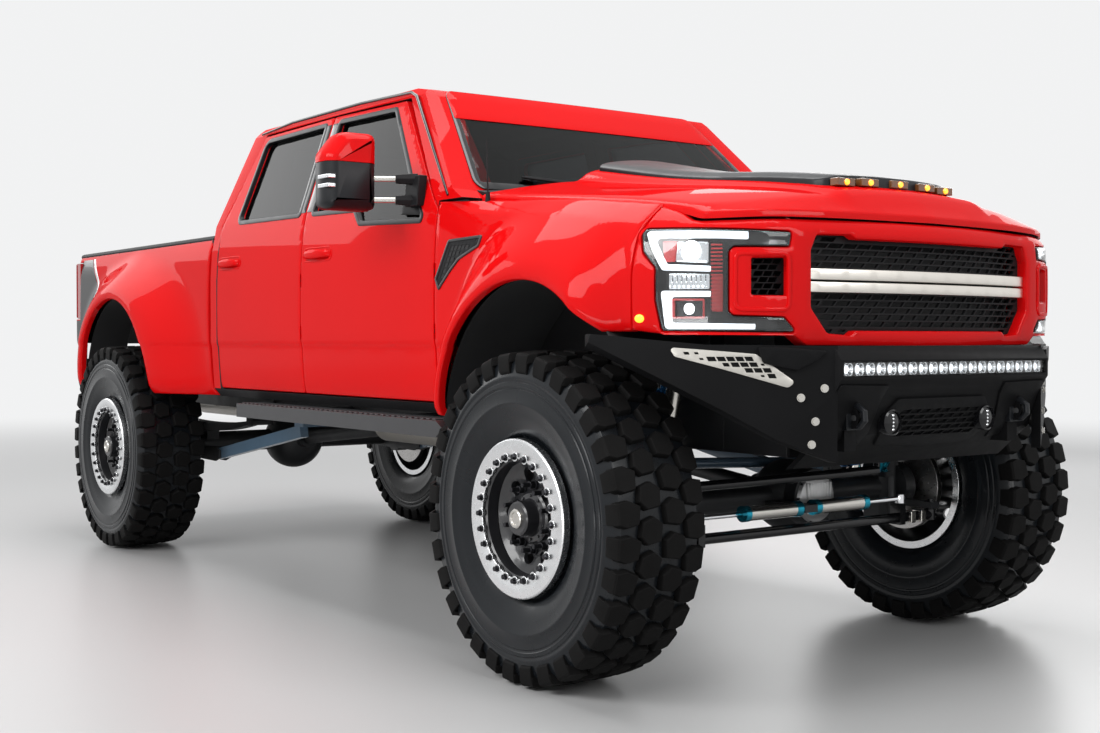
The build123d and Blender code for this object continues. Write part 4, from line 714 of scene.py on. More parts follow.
CARCASS = [
    # radius, distance from the tyre's middle
    (255, 118), (262, 128), (279, 131), (290, 146), (300, 153), (304, 155), (330, 168), (360, 177), (392, 182.5),
    (396, 184.5), (402, 184.5), (406, 182.8), (440, 184), (446, 184), (449, 181), (455, 181), (458, 183.5),
    (470, 183), (473, 180), (479, 180), (482, 182), (492, 181), (500, 177), (530, 172), (552, 160), (556, 120),
    (557, 60),
]
RING_FRONT = [(277, 150), (277, 177), (272, 182), (214, 182), (206, 178), (206, 168), (240, 160), (252, 148)]
RING_BACK = [(277, -150), (277, -136), (270, -131), (254, -130), (246, -140), (246, -150)]
BARREL = [(246, -148), (254, -140), (254, 148), (244, 160), (206, 166), (199, 160), (196, 120), (238, 104), (240, -130)]
HUB = [(0, 90), (92, 90), (92, 108), (84, 114), (66, 116), (62, 122), (60, 168), (54, 174), (0, 174)]
HUB_BACK = [(44, -180), (112, -146), (112, 70), (44, 76)]
CAP = [(0, 173), (34, 173), (34, 180), (30, 184), (22, 184), (20, 180), (0, 180)]
BRAKE = [(60, -176), (190, -176), (190, -148), (60, -148)]
DISH = curve([(0, 94), (128, 94), (140, 88), (176, 96), (200, 118)])
RING_BOLTS, RING_BOLT_R = 24, 214
HUB_BOLTS, HUB_BOLT_R = 10, 113


def on_dish(x, z, depth):
    """The wheel's outer face."""
    return np.stack([x, DISH(np.hypot(x, z)) - depth, z], 1)


def wheel_pieces():
    """One wheel's pieces round the origin, its outer face towards +Y."""
    carcass, ring, bolts, centre = Shape(), Shape(), Shape(), Shape()
    carcass.turned(CARCASS + [(r, -y) for r, y in reversed(CARCASS)], sides=128)
    ring.turned(RING_FRONT, sides=96).turned(RING_BACK, sides=96)
    for x, z in around(RING_BOLTS, RING_BOLT_R):
        ring.tube([(x, 170, z), (x, 183, z)], 17, 20)
        bolts.bolt((x, 183, z), (0, 1, 0), 9.5, 13)
    for x, z in around(HUB_BOLTS, HUB_BOLT_R, 0.5):
        bolts.bolt((x, 96, z), (0, 1, 0), 15, 26)
        bolts.tube([(x, 118, z), (x, 152, z)], 8.5, 12)
    centre.turned(BARREL, sides=96)
    base = rounded(ellipse(150, 0, 26, 26, 20), 0, 30)
    openings = [
        np.stack([base[:, 0] * c - base[:, 1] * s, base[:, 0] * s + base[:, 1] * c], 1) for c, s in around(HUB_BOLTS, 1)
    ]
    edge = np.array(ellipse(0, 0, 200, 200, 90))[:, :2]
    centre.join(panel(edge, on_dish, 16, openings, 16, 3))
    centre.turned(HUB, sides=64).turned(HUB_BACK)
    for x, z in around(HUB_BOLTS, 76, 0.5):
        centre.bolt((x, 112, z), (0, 1, 0), 6, 8)
    pieces = (
        ("lugs", "tyre_lugs", tread(), "tread", 3.0, "tyre_rubber"),
        ("wall", "tyre_wall", carcass, "sidewall", 0.0, "tyre_rubber"),
        ("ring", "beadlock_ring", ring, "machined", 1.6, "rim_metal"),
        ("bolts", "wheel_bolts", bolts, "bolt", 1.2, "rim_metal"),
        ("centre", "wheel_centre", centre, "wheel", 1.6, "rim_metal"),
        ("cap", "hub_cap", Shape().turned(CAP, sides=40), "polished", 0.8, "rim_metal"),
        ("disc", "brake_disc", Shape().turned(BRAKE, sides=64), "disc", 1.5, "rim_metal"),
    )
    return [
        (kind, made(name, shape, finish, None, bevel=bevel, smooth=40), slot)
        for kind, name, shape, finish, bevel, slot in pieces
    ]


def wheels():
    """Each wheel's pieces share one mesh, turned round on the right so that its face is outward."""
    sources = wheel_pieces()
    for axle, x in (("front", FRONT_AXLE_X), ("rear", REAR_AXLE_X)):
        for side, sign in SIDES:
            for kind, source, slot in sources:
                piece = bpy.data.objects.new(f"wheel_{kind}_{axle}_{side}", source.data)
                piece.location = (x * MM, sign * WHEEL_Y * MM, HUB_Z * MM)
                piece.rotation_euler = (0, 0, 0 if sign > 0 else math.pi)
                bpy.context.scene.collection.objects.link(piece)
                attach(piece, f"wheel_{axle}_{side}")
                if kind == "wall":
                    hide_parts(f"tyre_{axle}_{side}")
                if kind == "centre":
                    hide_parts(f"rim_{axle}_{side}")
    for kind, source, slot in sources:
        bpy.data.objects.remove(source)


wheels()

# Softened copies of solids


def softened(node, name, finishes, body="root", width=3.0, segments=2, sharp=22, choose=None):
    """A copy of a solid with its flat faces joined and its edges rounded, in place of the solid."""
    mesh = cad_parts[node].data.copy()
    mesh.name = name
    work = bmesh.new()
    work.from_mesh(mesh)
    bmesh.ops.remove_doubles(work, verts=work.verts, dist=1e-5)
    bmesh.ops.dissolve_limit(work, angle_limit=math.radians(0.6), verts=work.verts, edges=work.edges)
    work.to_mesh(mesh)
    work.free()
    mesh.materials.clear()
    for finish in finishes.split():
        mesh.materials.append(F[finish])
    piece = bpy.data.objects.new(name, mesh)
    bpy.context.scene.collection.objects.link(piece)
    edge = piece.modifiers.new("edge", "BEVEL")
    edge.width = width * MM
    edge.segments = segments
    edge.limit_method = "ANGLE"
    edge.angle_limit = math.radians(sharp)
    edge.use_clamp_overlap = True
    depsgraph = bpy.context.evaluated_depsgraph_get()
    piece.data = bpy.data.meshes.new_from_object(piece.evaluated_get(depsgraph))
    piece.modifiers.clear()
    piece.data.name = name
    piece.data.shade_smooth()
    piece.data.set_sharp_from_angle(angle=math.radians(sharp))
    if choose:
        for polygon in piece.data.polygons:
            polygon.material_index = choose(polygon.center / MM, polygon.normal)
    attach(piece, body)
    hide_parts(node)
    return piece


def pair(name, shape, finishes, body="root", **options):
    """A left piece and its mirror image; {} in a name or body becomes the side."""
    replaces = options.pop("replaces", ())
    for side, sign in SIDES:
        made(
            name.format(side), shape if sign > 0 else shape.mirrored(), finishes, body.format(side),
            replaces=[node.format(side) for node in replaces], **options,
        )


def sunk(face, by):
    """A face moved inward by its own depth."""
    return lambda a, b, d: face(a, b, d + by)


def sheet(
    name, face, outline, depth, finishes, body="root", sink=0.0, holes=(), grid=40.0, roll=2.0, extra=(), **options
):
    """A panel as a piece; {} in its name makes a pair. A second finish goes to its back."""
    shape = panel(outline, sunk(face, sink), depth, holes, grid, roll, len(finishes.split()) - 1, extra)
    options.setdefault("smooth", 40)
    (pair if "{}" in name else made)(name, shape, finishes, body, **options)


def oblong(a0, b0, a1, b1, radius):
    """Corners of an upright rectangle, from one corner to the opposite one."""
    return [(a0, b0, radius), (a1, b0, radius), (a1, b1, radius), (a0, b1, radius)]


# Cab: a softened shell, its inside in dark trim


def cab_finish(center, normal):
    """0 is the paint, 1 the trim inside and 2 the dark underside and firewall."""
    x, y, z = center
    if z < 1000 and normal.z < -0.5 or z < 985 and abs(y) < 800 or x > 1470 and z < 1760:
        return 2
    inside = abs(y) < float(side_y(x, z)) - 24 and -868 < x < 1490
    if inside and z < 2338 and not (normal.z > 0.3 and z > 2200) and not (normal.x > 0.3 and x > 880 and z > 1760):
        return 0 if normal.x < -0.35 and x < -690 else 1
    return 0


softened("cab_shell", "cab", "paint dash chassis", width=9, segments=3, sharp=14, choose=cab_finish)

# Doors

FRONT_DOOR = [(1338, 946, 14), (1338, 1716, 10), (822, 2230, 26), (163, 2242, 16), (163, 946, 12)]
REAR_DOOR = [(157, 946, 12), (157, 2242, 16), (-606, 2234, 60), (-800, 1764, 60), (-800, 946, 16)]
FRONT_WINDOW = [(232, 1782, 14), (640, 1772, 20), (702, 1708, 20), (1226, 1686, 8), (752, 2194, 22), (232, 2204, 14)]
REAR_WINDOW = [(92, 1786, 14), (92, 2204, 14), (-548, 2198, 46), (-606, 1796, 34)]
BENDS = (1164, 1171, 1178, 1785)
HANDLE_Z = 1584


def on_door(x, z, depth):
    """The door's skin; inward it grows thinner above the belt and leans forward."""
    deep = depth * (1 - 0.42 * ramp(z, 1640, 1790) * (depth > 12))
    return np.stack([x + 0.2 * deep * (depth > 12), side_y(x, z) - deep, z], 1)


def crease_rows(x0, x1, rows, step=26):
    """Extra grid points along the heights where the side bends."""
    return [[(x, z) for x in np.arange(x0, x1, step)] for z in rows]


def handle(x0, x1, z):
    """A pull handle, arched between its two feet."""
    y = float(side_y((x0 + x1) / 2, z))
    turn = [2 * math.pi * k / 16 for k in range(16)]
    rings = []
    for share in np.linspace(0, 1, 17):
        rise = 30 * math.sin(math.pi * share) ** 0.35 if 0 < share < 1 else 0
        half = 15 + 5 * math.sin(math.pi * share)
        rings.append([(x0 + (x1 - x0) * share, y + rise - 4 + 8 * math.cos(t), z + half * math.sin(t)) for t in turn])
    return Shape().rings(rings)


for kind, edge, window in (("front", FRONT_DOOR, FRONT_WINDOW), ("rear", REAR_DOOR, REAR_WINDOW)):
    body = f"{kind}_door_{{}}"
    outer, hole = rounded(edge, step=18), rounded(window, step=16)
    bends = crease_rows(outer[:, 0].min() + 20, outer[:, 0].max() - 20, BENDS)
    sheet(
        f"door_{kind}_{{}}_skin", on_door, outer, 96, "paint dash", body, holes=[hole], grid=24, roll=4.5, extra=bends,
        slot="body_paint", replaces=[f"door_{kind}_{{}}"],
    )
    sheet(f"window_trim_{kind}_{{}}", on_side, shrunk(hole, -20), 26, "satin", body, -3, [shrunk(hole, 3)], roll=2.5)
for kind, x0, x1 in (("front", 188, 464), ("rear", -786, -520)):
    body = f"{kind}_door_{{}}"
    pair(f"handle_{kind}_{{}}", handle(x0 + 18, x1 - 18, HANDLE_Z), "paint", body, smooth=60)
    loop = rounded(oblong(x0, HANDLE_Z - 34, x1, HANDLE_Z + 34, 30), step=10)
    sheet(f"handle_ring_{kind}_{{}}", on_side, loop, 8, "paint", body, -2.0, [shrunk(loop, 7)], 20, 1.6)

# Front fenders with their wide flares, and the arches' linings

fender_edge = rounded(
    [(1344, 905, 8), (1344, 1745, 3), (1800, 1721, 0), (2250, 1689, 0), (2603, 1647, 6), (2607, 1222, 12),
     (2519, 1222, 6)]
    + arc(*ARCHES["front"][:3], 42.3, 173.85, 70), step=18,
)
crease = [[(x, float(FENDER_CREASE(x)) + d) for x in np.arange(1370, 2590, 22)] for d in (-10, 2, 14)]
sheet(
    "fender_{}", on_side, fender_edge, 30, "paint inner", grid=20, roll=6.0,
    extra=crease + crease_rows(1370, 1540, BENDS[:3]), slot="body_paint", replaces=["front_fenders"],
)
for arch, start, end, inner, outer in (("front", 36, 171, 672, 1060), ("rear", 4.5, 175.5, 864, 1090)):
    cx, cz, radius, _ = ARCHES[arch]
    near, far = radius + 7, radius + 14
    profile = [(near, inner), (far, inner), (far, outer), (near, outer)]
    lining = Shape().turned(profile, (cx, 0, cz), "y", 60, math.radians(start), math.radians(end - start))
    pair(f"liner_{arch}_{{}}", lining, "inner", smooth=40)

# Bed sides

BED_FRONT, BED_BACK = -918, -3048
bed_edge = rounded(
    [(BED_FRONT, 902, 10), (BED_FRONT, 1726, 6), (BED_BACK, 1726, 10), (BED_BACK, 1689, 3), (-2975, 1689, 10),
     (-2975, 1325, 10), (BED_BACK, 1325, 3), (BED_BACK, 1082, 10), (-2930, 1082, 16), (-2858, 902, 10), (-2548, 902, 6)]
    + arc(*ARCHES["rear"][:3], 175.8, 4.2, 80), step=20,
)
sheet(
    "bed_side_{}", on_side, bed_edge, 30, "paint inner", grid=22, roll=6.0,
    extra=crease_rows(-1370, -940, BENDS[:3]) + crease_rows(-3030, -940, (1560, 1700)),
    slot="body_paint", replaces=["bed_sides"],
)
inside = rounded(
    [(BED_FRONT, 1172, 2), (BED_FRONT, 1730, 2), (BED_BACK, 1730, 2), (BED_BACK, 1172, 2), (-2450, 1172, 2)]
    + arc(*ARCHES["rear"][:3], 146.8, 33.2, 40), step=40,
)
wall = panel(inside, lambda a, b, d: np.stack([a, 868.0 - d, b], 1), 6, [], 60, 1.0)
for size in (
    (BED_BACK, -3036, 864, 962, 1172, 1324), (BED_BACK, -3036, 864, 920, 1324, 1690),
    (BED_BACK, -3036, 864, 930, 1690, 1728), (-2976, -2970, 864, 968, 1322, 1692),
    (-930, BED_FRONT, 864, 960, 1172, 1728),
):
    wall.box(*size)
pair("bed_wall_{}", wall, "liner", smooth=30)
cap = [(856, 1716), (856, 1738), (862, 1744), (938, 1744), (952, 1738), (957, 1726), (954, 1716)]
pair("bed_cap_{}", Shape().along(cap, -3050, -916), "plastic", bevel=3.0)

# Hood

HOOD = [
    # station, height at the side edge, foot of the raised centre, its edge, the middle
    (1512, 1768, 1846, 1892, 1936),
    (2000, 1722, 1790, 1820, 1842),
    (2610, 1654, 1726, 1750, 1766),
    (2890, 1602, 1680, 1702, 1716),
    (3012, 1572, 1622, 1632, 1638),
]
HOOD_LINES = [curve([(row[0], row[i]) for row in HOOD]) for i in range(1, 5)]
HOOD_LIP = curve([(0, 3006), (400, 2983), (560, 2958), (700, 2921), (800, 2873), (880, 2806)])
LIP_Z = curve([(0, 1619), (660, 1615), (880, 1606)])


def hood_z(x, y):
    """Height of the hood's skin."""
    y = np.abs(y)
    side, foot, edge, middle = (line(x) for line in HOOD_LINES)
    centre = middle - (middle - edge) * (y / 345) ** 2
    step = edge + (foot - edge) * ramp(y, 335, 425)
    share = np.clip((y - 415) / 465, 0, 1)
    outer = foot + (side - foot) * share ** 1.25 - 12 * np.clip((y - 846) / 36, 0, 1) ** 2
    skin = np.where(y < 335, centre, np.where(y < 425, step, outer))
    near = np.clip((x - HOOD_LIP(y) + 90) / 90, 0, 1)
    return skin - np.maximum(skin - LIP_Z(y), 0) * near ** 1.8


def on_hood(x, y, depth):
    return np.stack([x, y, hood_z(x, y) - depth], 1)


def on_scoop(x, y, depth):
    """The black centre panel, proud of the hood and square at its front."""
    rise = 26 + 10 * ramp(x, 2100, 2780) - 20 * np.clip((np.abs(y) - 262) / 76, 0, 1) ** 2
    return np.stack([x, y, hood_z(x, y) + rise - depth], 1)


half = [(float(HOOD_LIP(y)), y, 0) for y in np.linspace(0, HOOD_Y, 44)]
back_edge = [(1514, HOOD_Y, 10), (1514, -HOOD_Y, 10)]
hood_edge = rounded(half + back_edge + [(x, -y, 0) for x, y, _ in reversed(half[1:])], step=22)
steps = (330, 348, 366, 384, 402, 420, 846, 862)
sheet(
    "hood_skin", on_hood, hood_edge, 23, "paint inner", "hood", grid=26, roll=7.0,
    extra=[[(x, s * y) for x in np.arange(1540, 2990, 26)] for y in steps for s in (1, -1)],
    slot="body_paint", replaces=["hood"],
)
scoop_edge = rounded(
    [(1530, 318, 30), (1530, -318, 30), (2250, -338, 0), (2806, -332, 60), (2852, 0, 0), (2806, 332, 60),
     (2250, 338, 0)], step=26,
)
sheet(
    "hood_centre", on_scoop, scoop_edge, 36, "satin", "hood", grid=30, roll=6.0, slot="black_paint",
    replaces=["hood_scoop"],
)
lights, housing = Shape(), Shape()
for y in (-262, -150, 150, 262, 0):
    x = 2836 + 16 * (1 - (y / 300) ** 2)
    z = float(hood_z(x, y))
    housing.box(x - 30, x + 8, y - 44, y + 44, z + 2, z + 30)
    lights.tube([(x + 2, y, z + 16), (x + 14, y, z + 16)], [13, 9], 20)
made("marker_housing", housing, "smoked", "hood", bevel=4.0)
made("marker_lights", lights, "amber", "hood", smooth=50)

# Nose: a plan line of two arcs, with lengths along it as the first coordinate


def sweep(a, b, c, count):
    """Points of the arc through three points."""
    (ax, ay), (bx, by), (cx, cy) = a, b, c
    d = 2 * (ax * (by - cy) + bx * (cy - ay) + cx * (ay - by))
    ux = ((ax * ax + ay * ay) * (by - cy) + (bx * bx + by * by) * (cy - ay) + (cx * cx + cy * cy) * (ay - by)) / d
    uy = ((ax * ax + ay * ay) * (cx - bx) + (bx * bx + by * by) * (ax - cx) + (cx * cx + cy * cy) * (bx - ax)) / d
    r = math.hypot(ax - ux, ay - uy)
    t0, t1 = math.atan2(ay - uy, ax - ux), math.atan2(cy - uy, cx - ux)
    return [(ux + r * math.cos(t), uy + r * math.sin(t)) for t in np.linspace(t0, t1, count)]


middle = sweep((2980, -565), (3035, 0), (2980, 565), 121)
PLAN = np.array([p for p in middle if p[1] >= -1e-6] + sweep((2980, 565), (2866, 850), (2612, 1028), 80)[1:])
RUN = np.concatenate([[0], np.cumsum(np.linalg.norm(np.diff(PLAN, axis=0), axis=1))])
SHELL_TOP = curve([(0, 1590), (500, 1588), (700, 1585), (960, 1577), (1000, 1582), (1060, 1605), (1188, 1638)])


def on_nose(u, z, depth):
    """The nose's face; it leans back a little above and below its middle."""
    u, z = np.asarray(u, float), np.asarray(z, float)
    sign = np.where(u < 0, -1.0, 1.0)
    at = np.minimum(np.abs(u), RUN[-1])
    x, y = np.interp(at, RUN, PLAN[:, 0]), np.interp(at, RUN, PLAN[:, 1])
    ahead = np.minimum(at + 4, RUN[-1])
    behind = np.maximum(at - 4, -RUN[-1])
    tx = np.interp(ahead, RUN, PLAN[:, 0]) - np.interp(np.abs(behind), RUN, PLAN[:, 0])
    ty = np.interp(ahead, RUN, PLAN[:, 1]) - np.interp(np.abs(behind), RUN, PLAN[:, 1]) * np.sign(behind + 1e-9)
    size = np.maximum(np.hypot(tx, ty), 1e-6)
    nx, ny = ty / size, -tx / size
    over = np.clip((z - 1535) / (SHELL_TOP(at) - 1535), 0, 1)
    corner = ramp(at, 900, 1180)
    back = depth + 26 * over ** 2 + 6 * (np.minimum(z - 1380, 200) / 200) ** 2
    fall = 42 * np.clip((z - 1372) / 190, 0, 1) ** 2 * corner
    inset = np.maximum(y - 42 * corner - ny * 32 - HOOD_Y - GAP, 0) * over ** 1.4
    return np.stack([x - nx * back, sign * (y - ny * back - fall - inset), z], 1)


def both_ways(points):
    """A half outline from the middle line, closed with its mirror image."""
    return points + [(-p[0], *p[1:]) for p in reversed(points) if abs(p[0]) > 1]


def across_middle(loop):
    """A loop on the other side of the middle line."""
    return np.stack([-loop[:, 0], loop[:, 1]], 1)


LAMP = [
    (1187, 1556, 12), (652, 1541, 8), (661, 1496, 6), (850, 1494, 16), (867, 1480, 16), (867, 1284, 16),
    (850, 1271, 14), (678, 1266, 10), (634, 1222, 6), (1082, 1224, 14), (1103, 1320, 20), (1104, 1426, 24),
    (1158, 1480, 20),
]
OPENING = both_ways([
    (0, 1526, 0), (390, 1526, 6), (412, 1539, 10), (550, 1537, 20), (574, 1484, 20), (574, 1300, 30), (506, 1216, 26),
    (412, 1210, 10), (390, 1225, 6), (0, 1225, 0),
])
INLET = [(657, 1460, 6), (791, 1458, 8), (791, 1338, 8), (657, 1338, 6)]
UPPER_MESH = [
    (0, 1530, 0), (392, 1530, 4), (412, 1543, 6), (556, 1541, 10), (578, 1484, 10), (578, 1424, 0), (0, 1424, 0),
]
LOWER_MESH = [
    (0, 1356, 0), (578, 1356, 0), (578, 1300, 10), (508, 1212, 10), (412, 1206, 6), (390, 1221, 4), (0, 1221, 0),
]
lamp_loop, opening_loop, inlet_loop = rounded(LAMP, step=14), rounded(OPENING, step=20), rounded(INLET, step=14)
lamp_gap = shrunk(lamp_loop, -3)
shell_edge = rounded(both_ways([
    *[(u, float(SHELL_TOP(u)), 0) for u in (0, 250, 500, 700, 960, 1000, 1030, 1060, 1120)],
    (1188, 1638, 5), (1190, 1560, 0), (1190, 1226, 6), (1084, 1214, 10), (640, 1208, 14), (590, 1176, 20), (0, 1172, 0),
]), step=22)
sheet(
    "nose_shell", on_nose, shell_edge, 60, "paint inner", grid=20, roll=9.0,
    holes=[opening_loop, lamp_gap, across_middle(lamp_gap), inlet_loop, across_middle(inlet_loop)],
    extra=[[(u, z) for u in np.arange(-1170, 1171, 22)] for z in (1545, 1560, 1572, 1584, 1598, 1612, 1624)],
    slot="body_paint", replaces=["grille_shell"],
)


def lattice(outline, rows, pitch, bar, slant):
    """Slanted-brick openings that fit inside an outline."""
    holes = []
    inner = shrunk(outline, bar * 1.2)
    low, high = inner[:, 1].min(), inner[:, 1].max()
    tall = (high - low) / rows
    left, right = inner[:, 0].min() - pitch, inner[:, 0].max() + pitch
    for row in range(rows):
        z0, z1 = low + row * tall + bar / 2, low + (row + 1) * tall - bar / 2
        start = left + pitch * (row % 2) / 2
        for k in range(int((right - left) / pitch) + 1):
            u0 = start + k * pitch
            u1, u0 = u0 + pitch - bar / 2, u0 + bar / 2
            cell = np.array([(u0 - slant, z0), (u1 - slant, z0), (u1 + slant, z1), (u0 + slant, z1)])
            # A brick cut by the edge shrinks until it fits
            shares = (1.0, 0.8, 0.6, 0.45) if within(cell, inner).sum() >= 2 else ()
            for share in shares:
                less = cell if share == 1.0 else cell.mean(0) + (cell - cell.mean(0)) * share
                if within(less, inner).all():
                    holes.append(less)
                    break
    return holes


def mesh_panel(outline, cells, face, sink, depth):
    """A flat sheet with brick openings: rows, pitch, bar and slant."""
    return panel(outline, sunk(face, sink), depth, lattice(outline, *cells), 400, 1.2)


grille = Shape()
for points, rows in ((UPPER_MESH, 5), (LOWER_MESH, 6)):
    grille.join(mesh_panel(rounded(both_ways(points), step=60), (rows, 62, 6, 7), on_nose, 40, 12))
for loop in (inlet_loop, across_middle(inlet_loop)):
    grille.join(mesh_panel(shrunk(loop, -4), (6, 36, 4, 4), on_nose, 44, 10))
backing = rounded(both_ways([(0, 1546, 0), (588, 1546, 12), (588, 1204, 12), (0, 1204, 0)]), step=60)
sheet("grille_back", on_nose, backing, 6, "inner", sink=104, grid=60, roll=0.8)
made("grille_lattice", grille, "plastic", smooth=30, slot="black_plastic", replaces=["grille_mesh"])
bars = Shape()
for low, high in ((1350, 1385), (1391, 1428)):
    strip = rounded(both_ways([(0, low, 0), (571, low, 3), (571, high, 3), (0, high, 0)]), step=40)
    bars.join(panel(strip, sunk(on_nose, 16), 26, [], 60, 4.0))
made("grille_bar", bars, "brushed", smooth=40, slot="bar_metal", replaces=["grille_bars"])

# Headlamps

LED_UPPER = [
    (1176, 1549, 8), (798, 1540, 4), (798, 1517, 4), (1132, 1524, 10), (1070, 1438, 8), (922, 1431, 4), (922, 1413, 4),
    (1086, 1419, 10),
]
LED_LOWER = [
    (1090, 1353, 10), (922, 1351, 3), (922, 1333, 3), (1052, 1333, 10), (1052, 1250, 10), (774, 1246, 3),
    (774, 1230, 3), (1074, 1231, 12),
]


def tile(points, step, sink, depth, roll, rim=0):
    """A small panel behind the lens; with a rim it is an open frame."""
    loop = rounded(points, step=step)
    return panel(loop, sunk(on_nose, sink), depth, [shrunk(loop, rim)] if rim else [], 30, roll)


ring = rounded([(660, 1476, 26), (848, 1474, 26), (848, 1290, 26), (660, 1288, 26)], step=12)
sheet("lamp_bezel_{}", on_nose, shrunk(ring, -4), 12, "paint", sink=-5, holes=[shrunk(ring, 10)], grid=30, roll=4.0)
back = panel(shrunk(lamp_loop, 1), sunk(on_nose, 46), 8, [], 30, 1.0)
back.join(panel(lamp_loop, sunk(on_nose, 2), 50, [shrunk(lamp_loop, 5)], 60, 2.0))
pair("lamp_back_{}", back, "gloss", smooth=40, slot="lamp_lens", replaces=["headlamps"])
glow, inside, bright, mirrors = Shape(), Shape(), Shape(), Shape()
for points in (LED_UPPER, LED_LOWER):
    glow.join(tile(points, 14, 12, 10, 3.0))
pair("lamp_tubes_{}", glow, "led", smooth=40)
inside.join(tile([(1104, 1514, 4), (1047, 1513, 4), (1047, 1446, 4), (1084, 1446, 4)], 30, 26, 10, 2.0))
inside.join(tile(oblong(918, 1404, 882, 1286, 2), 30, 30, 10, 2.0))
for z in np.arange(1292, 1500, 12):
    inside.join(tile(oblong(884, z, 922, z + 6, 1), 30, 22, 10, 1.0))
inside.join(tile([(1052, 1328, 6), (942, 1327, 6), (942, 1263, 6), (1052, 1263, 6)], 20, 20, 14, 2.0, 7))
pair("lamp_red_{}", inside, "red_part", smooth=40)
for u, z, r, depth in ((992, 1480, 34, 8), (997, 1295, 18, 24)):
    bright.join(panel(
        rounded(ellipse(u, z, r, r, 24), step=50),
        lambda a, b, d: on_nose(a, b, d + depth + 14 * ((np.hypot(a - u, b - z)) / r) ** 2), 8, [], 8, 1.0,
    ))
pair("lamp_projector_{}", bright, "bright", smooth=60)
mirrors.join(tile([(1064, 1408, 4), (926, 1406, 4), (926, 1358, 4), (1064, 1358, 4)], 20, 24, 8, 2.0))
for u in np.arange(936, 1062, 16):
    mirrors.join(tile(oblong(u, 1404, u + 9, 1361, 1), 30, 19, 6, 1.5))
mirrors.join(tile([(1046, 1512, 6), (930, 1509, 6), (930, 1440, 6), (1046, 1446, 6)], 20, 30, 8, 2.0))
pair("lamp_reflector_{}", mirrors, "chrome", smooth=40)
sheet("lamp_lens_{}", on_nose, shrunk(lamp_loop, 1.5), 3.0, "lens", grid=24, roll=1.5)
spot = rounded(ellipse(1160, 1264, 17, 14, 24), step=20)
sheet("side_marker_{}", on_nose, spot, 10, "amber", sink=-7, grid=20, roll=5.0, smooth=50)

# Front bumper: the folded plates with mesh, lamps, hooks and bolts

softened("front_bumper", "bumper", "steel", width=5, segments=3, sharp=20)
WING_Y = (539, 860, 1191)
WING_X = (3062, 2860, 2600)
WING_FACE, WING_TIP = (0.847, 0.533), (0.786, 0.618)
HOOK_Y = 430
FOG_AT = (3030, 250, 920)


def on_wing(y, z, depth):
    """The swept outer face of a bumper wing."""
    y = np.asarray(y, float)
    bend = ramp(y, 840, 880)
    nx, ny = (a + (b - a) * bend for a, b in zip(WING_FACE, WING_TIP))
    x = np.interp(y, WING_Y, WING_X)
    return np.stack([x - nx * depth, y - ny * depth, np.asarray(z, float)], 1)


def on_skid(y, z, depth):
    """The bumper's lower face, from the fold down to the sump."""
    z = np.asarray(z, float)
    x = np.interp(z, (768, 880, 1010, 1066, 1130), (2872, 3000, 3046, 3085, 3085))
    return np.stack([x - depth, np.asarray(y, float), z + 0.25 * depth], 1)


insert = rounded([(990, 1172, 12), (975, 1142, 12), (676, 1042, 12), (655, 1060, 12), (764, 1150, 16)], step=16)
slots = lattice(shrunk(insert, 4), 6, 25, 4, 3)
sheet("wing_mesh_{}", on_wing, insert, 9, "silver", sink=-5, holes=slots, grid=300, roll=1.0, slot="bar_metal")
facet = rounded(
    [(762, 1172, 6), (700, 1172, 6), (566, 1160, 6), (600, 1128, 6), (652, 1098, 6), (744, 1120, 6)], step=30,
)
sheet("wing_step_{}", on_wing, facet, 18, "steel", sink=-16, roll=3.0, smooth=30, slot="black_paint")
plate = rounded(
    [(0, 1000, 0), (228, 1000, 24), (300, 930, 24), (252, 838, 24), (0, 826, 0), (-252, 838, 24), (-300, 930, 24),
     (-228, 1000, 24)], step=30,
)
holes = lattice(shrunk(plate, 24), 7, 52, 7, 6)
sheet("skid_mesh", on_skid, plate, 12, "steel", sink=-9, holes=holes, roll=2.5, smooth=30, slot="black_paint")
for side, sign in SIDES:
    corners = [(306, 1046, 4), (540, 1052, 8), (532, 906, 8), (470, 862, 8), (340, 846, 6)]
    fold = rounded([(y * sign, z, r) for y, z, r in corners], step=40)
    sheet(f"skid_fold_{side}", on_skid, fold, 9, "steel", sink=-7, grid=60, roll=2.5, smooth=30)
bar, cups, beads = Shape(), Shape(), Shape()
bar.box(3026, 3056, -530, 530, 1077, 1123)
for low, high in ((1077, 1080), (1120, 1123)):
    bar.box(3050, 3077, -531, 531, low, high)
made("light_bar_body", bar, "gloss", bevel=2.0, slot="lamp_lens", replaces=["light_bar"])
for k in range(20):
    at = (3064, -500 + 1000 * k / 19, 1100)
    cups.turned([(20, 6), (18, 3), (9, -8), (0, -8), (0, -10), (24, -10), (24, 6)], at, "x", 20)
    beads.turned([(0, 2), (10, -2), (12, -10), (0, -12)], at, "x", 14)
made("light_bar_cups", cups, "chrome", smooth=50)
made("light_bar_leds", beads, "led", smooth=60)
made("light_bar_cover", Shape().box(3073, 3077, -530, 530, 1077, 1123), "lens", bevel=0.8)
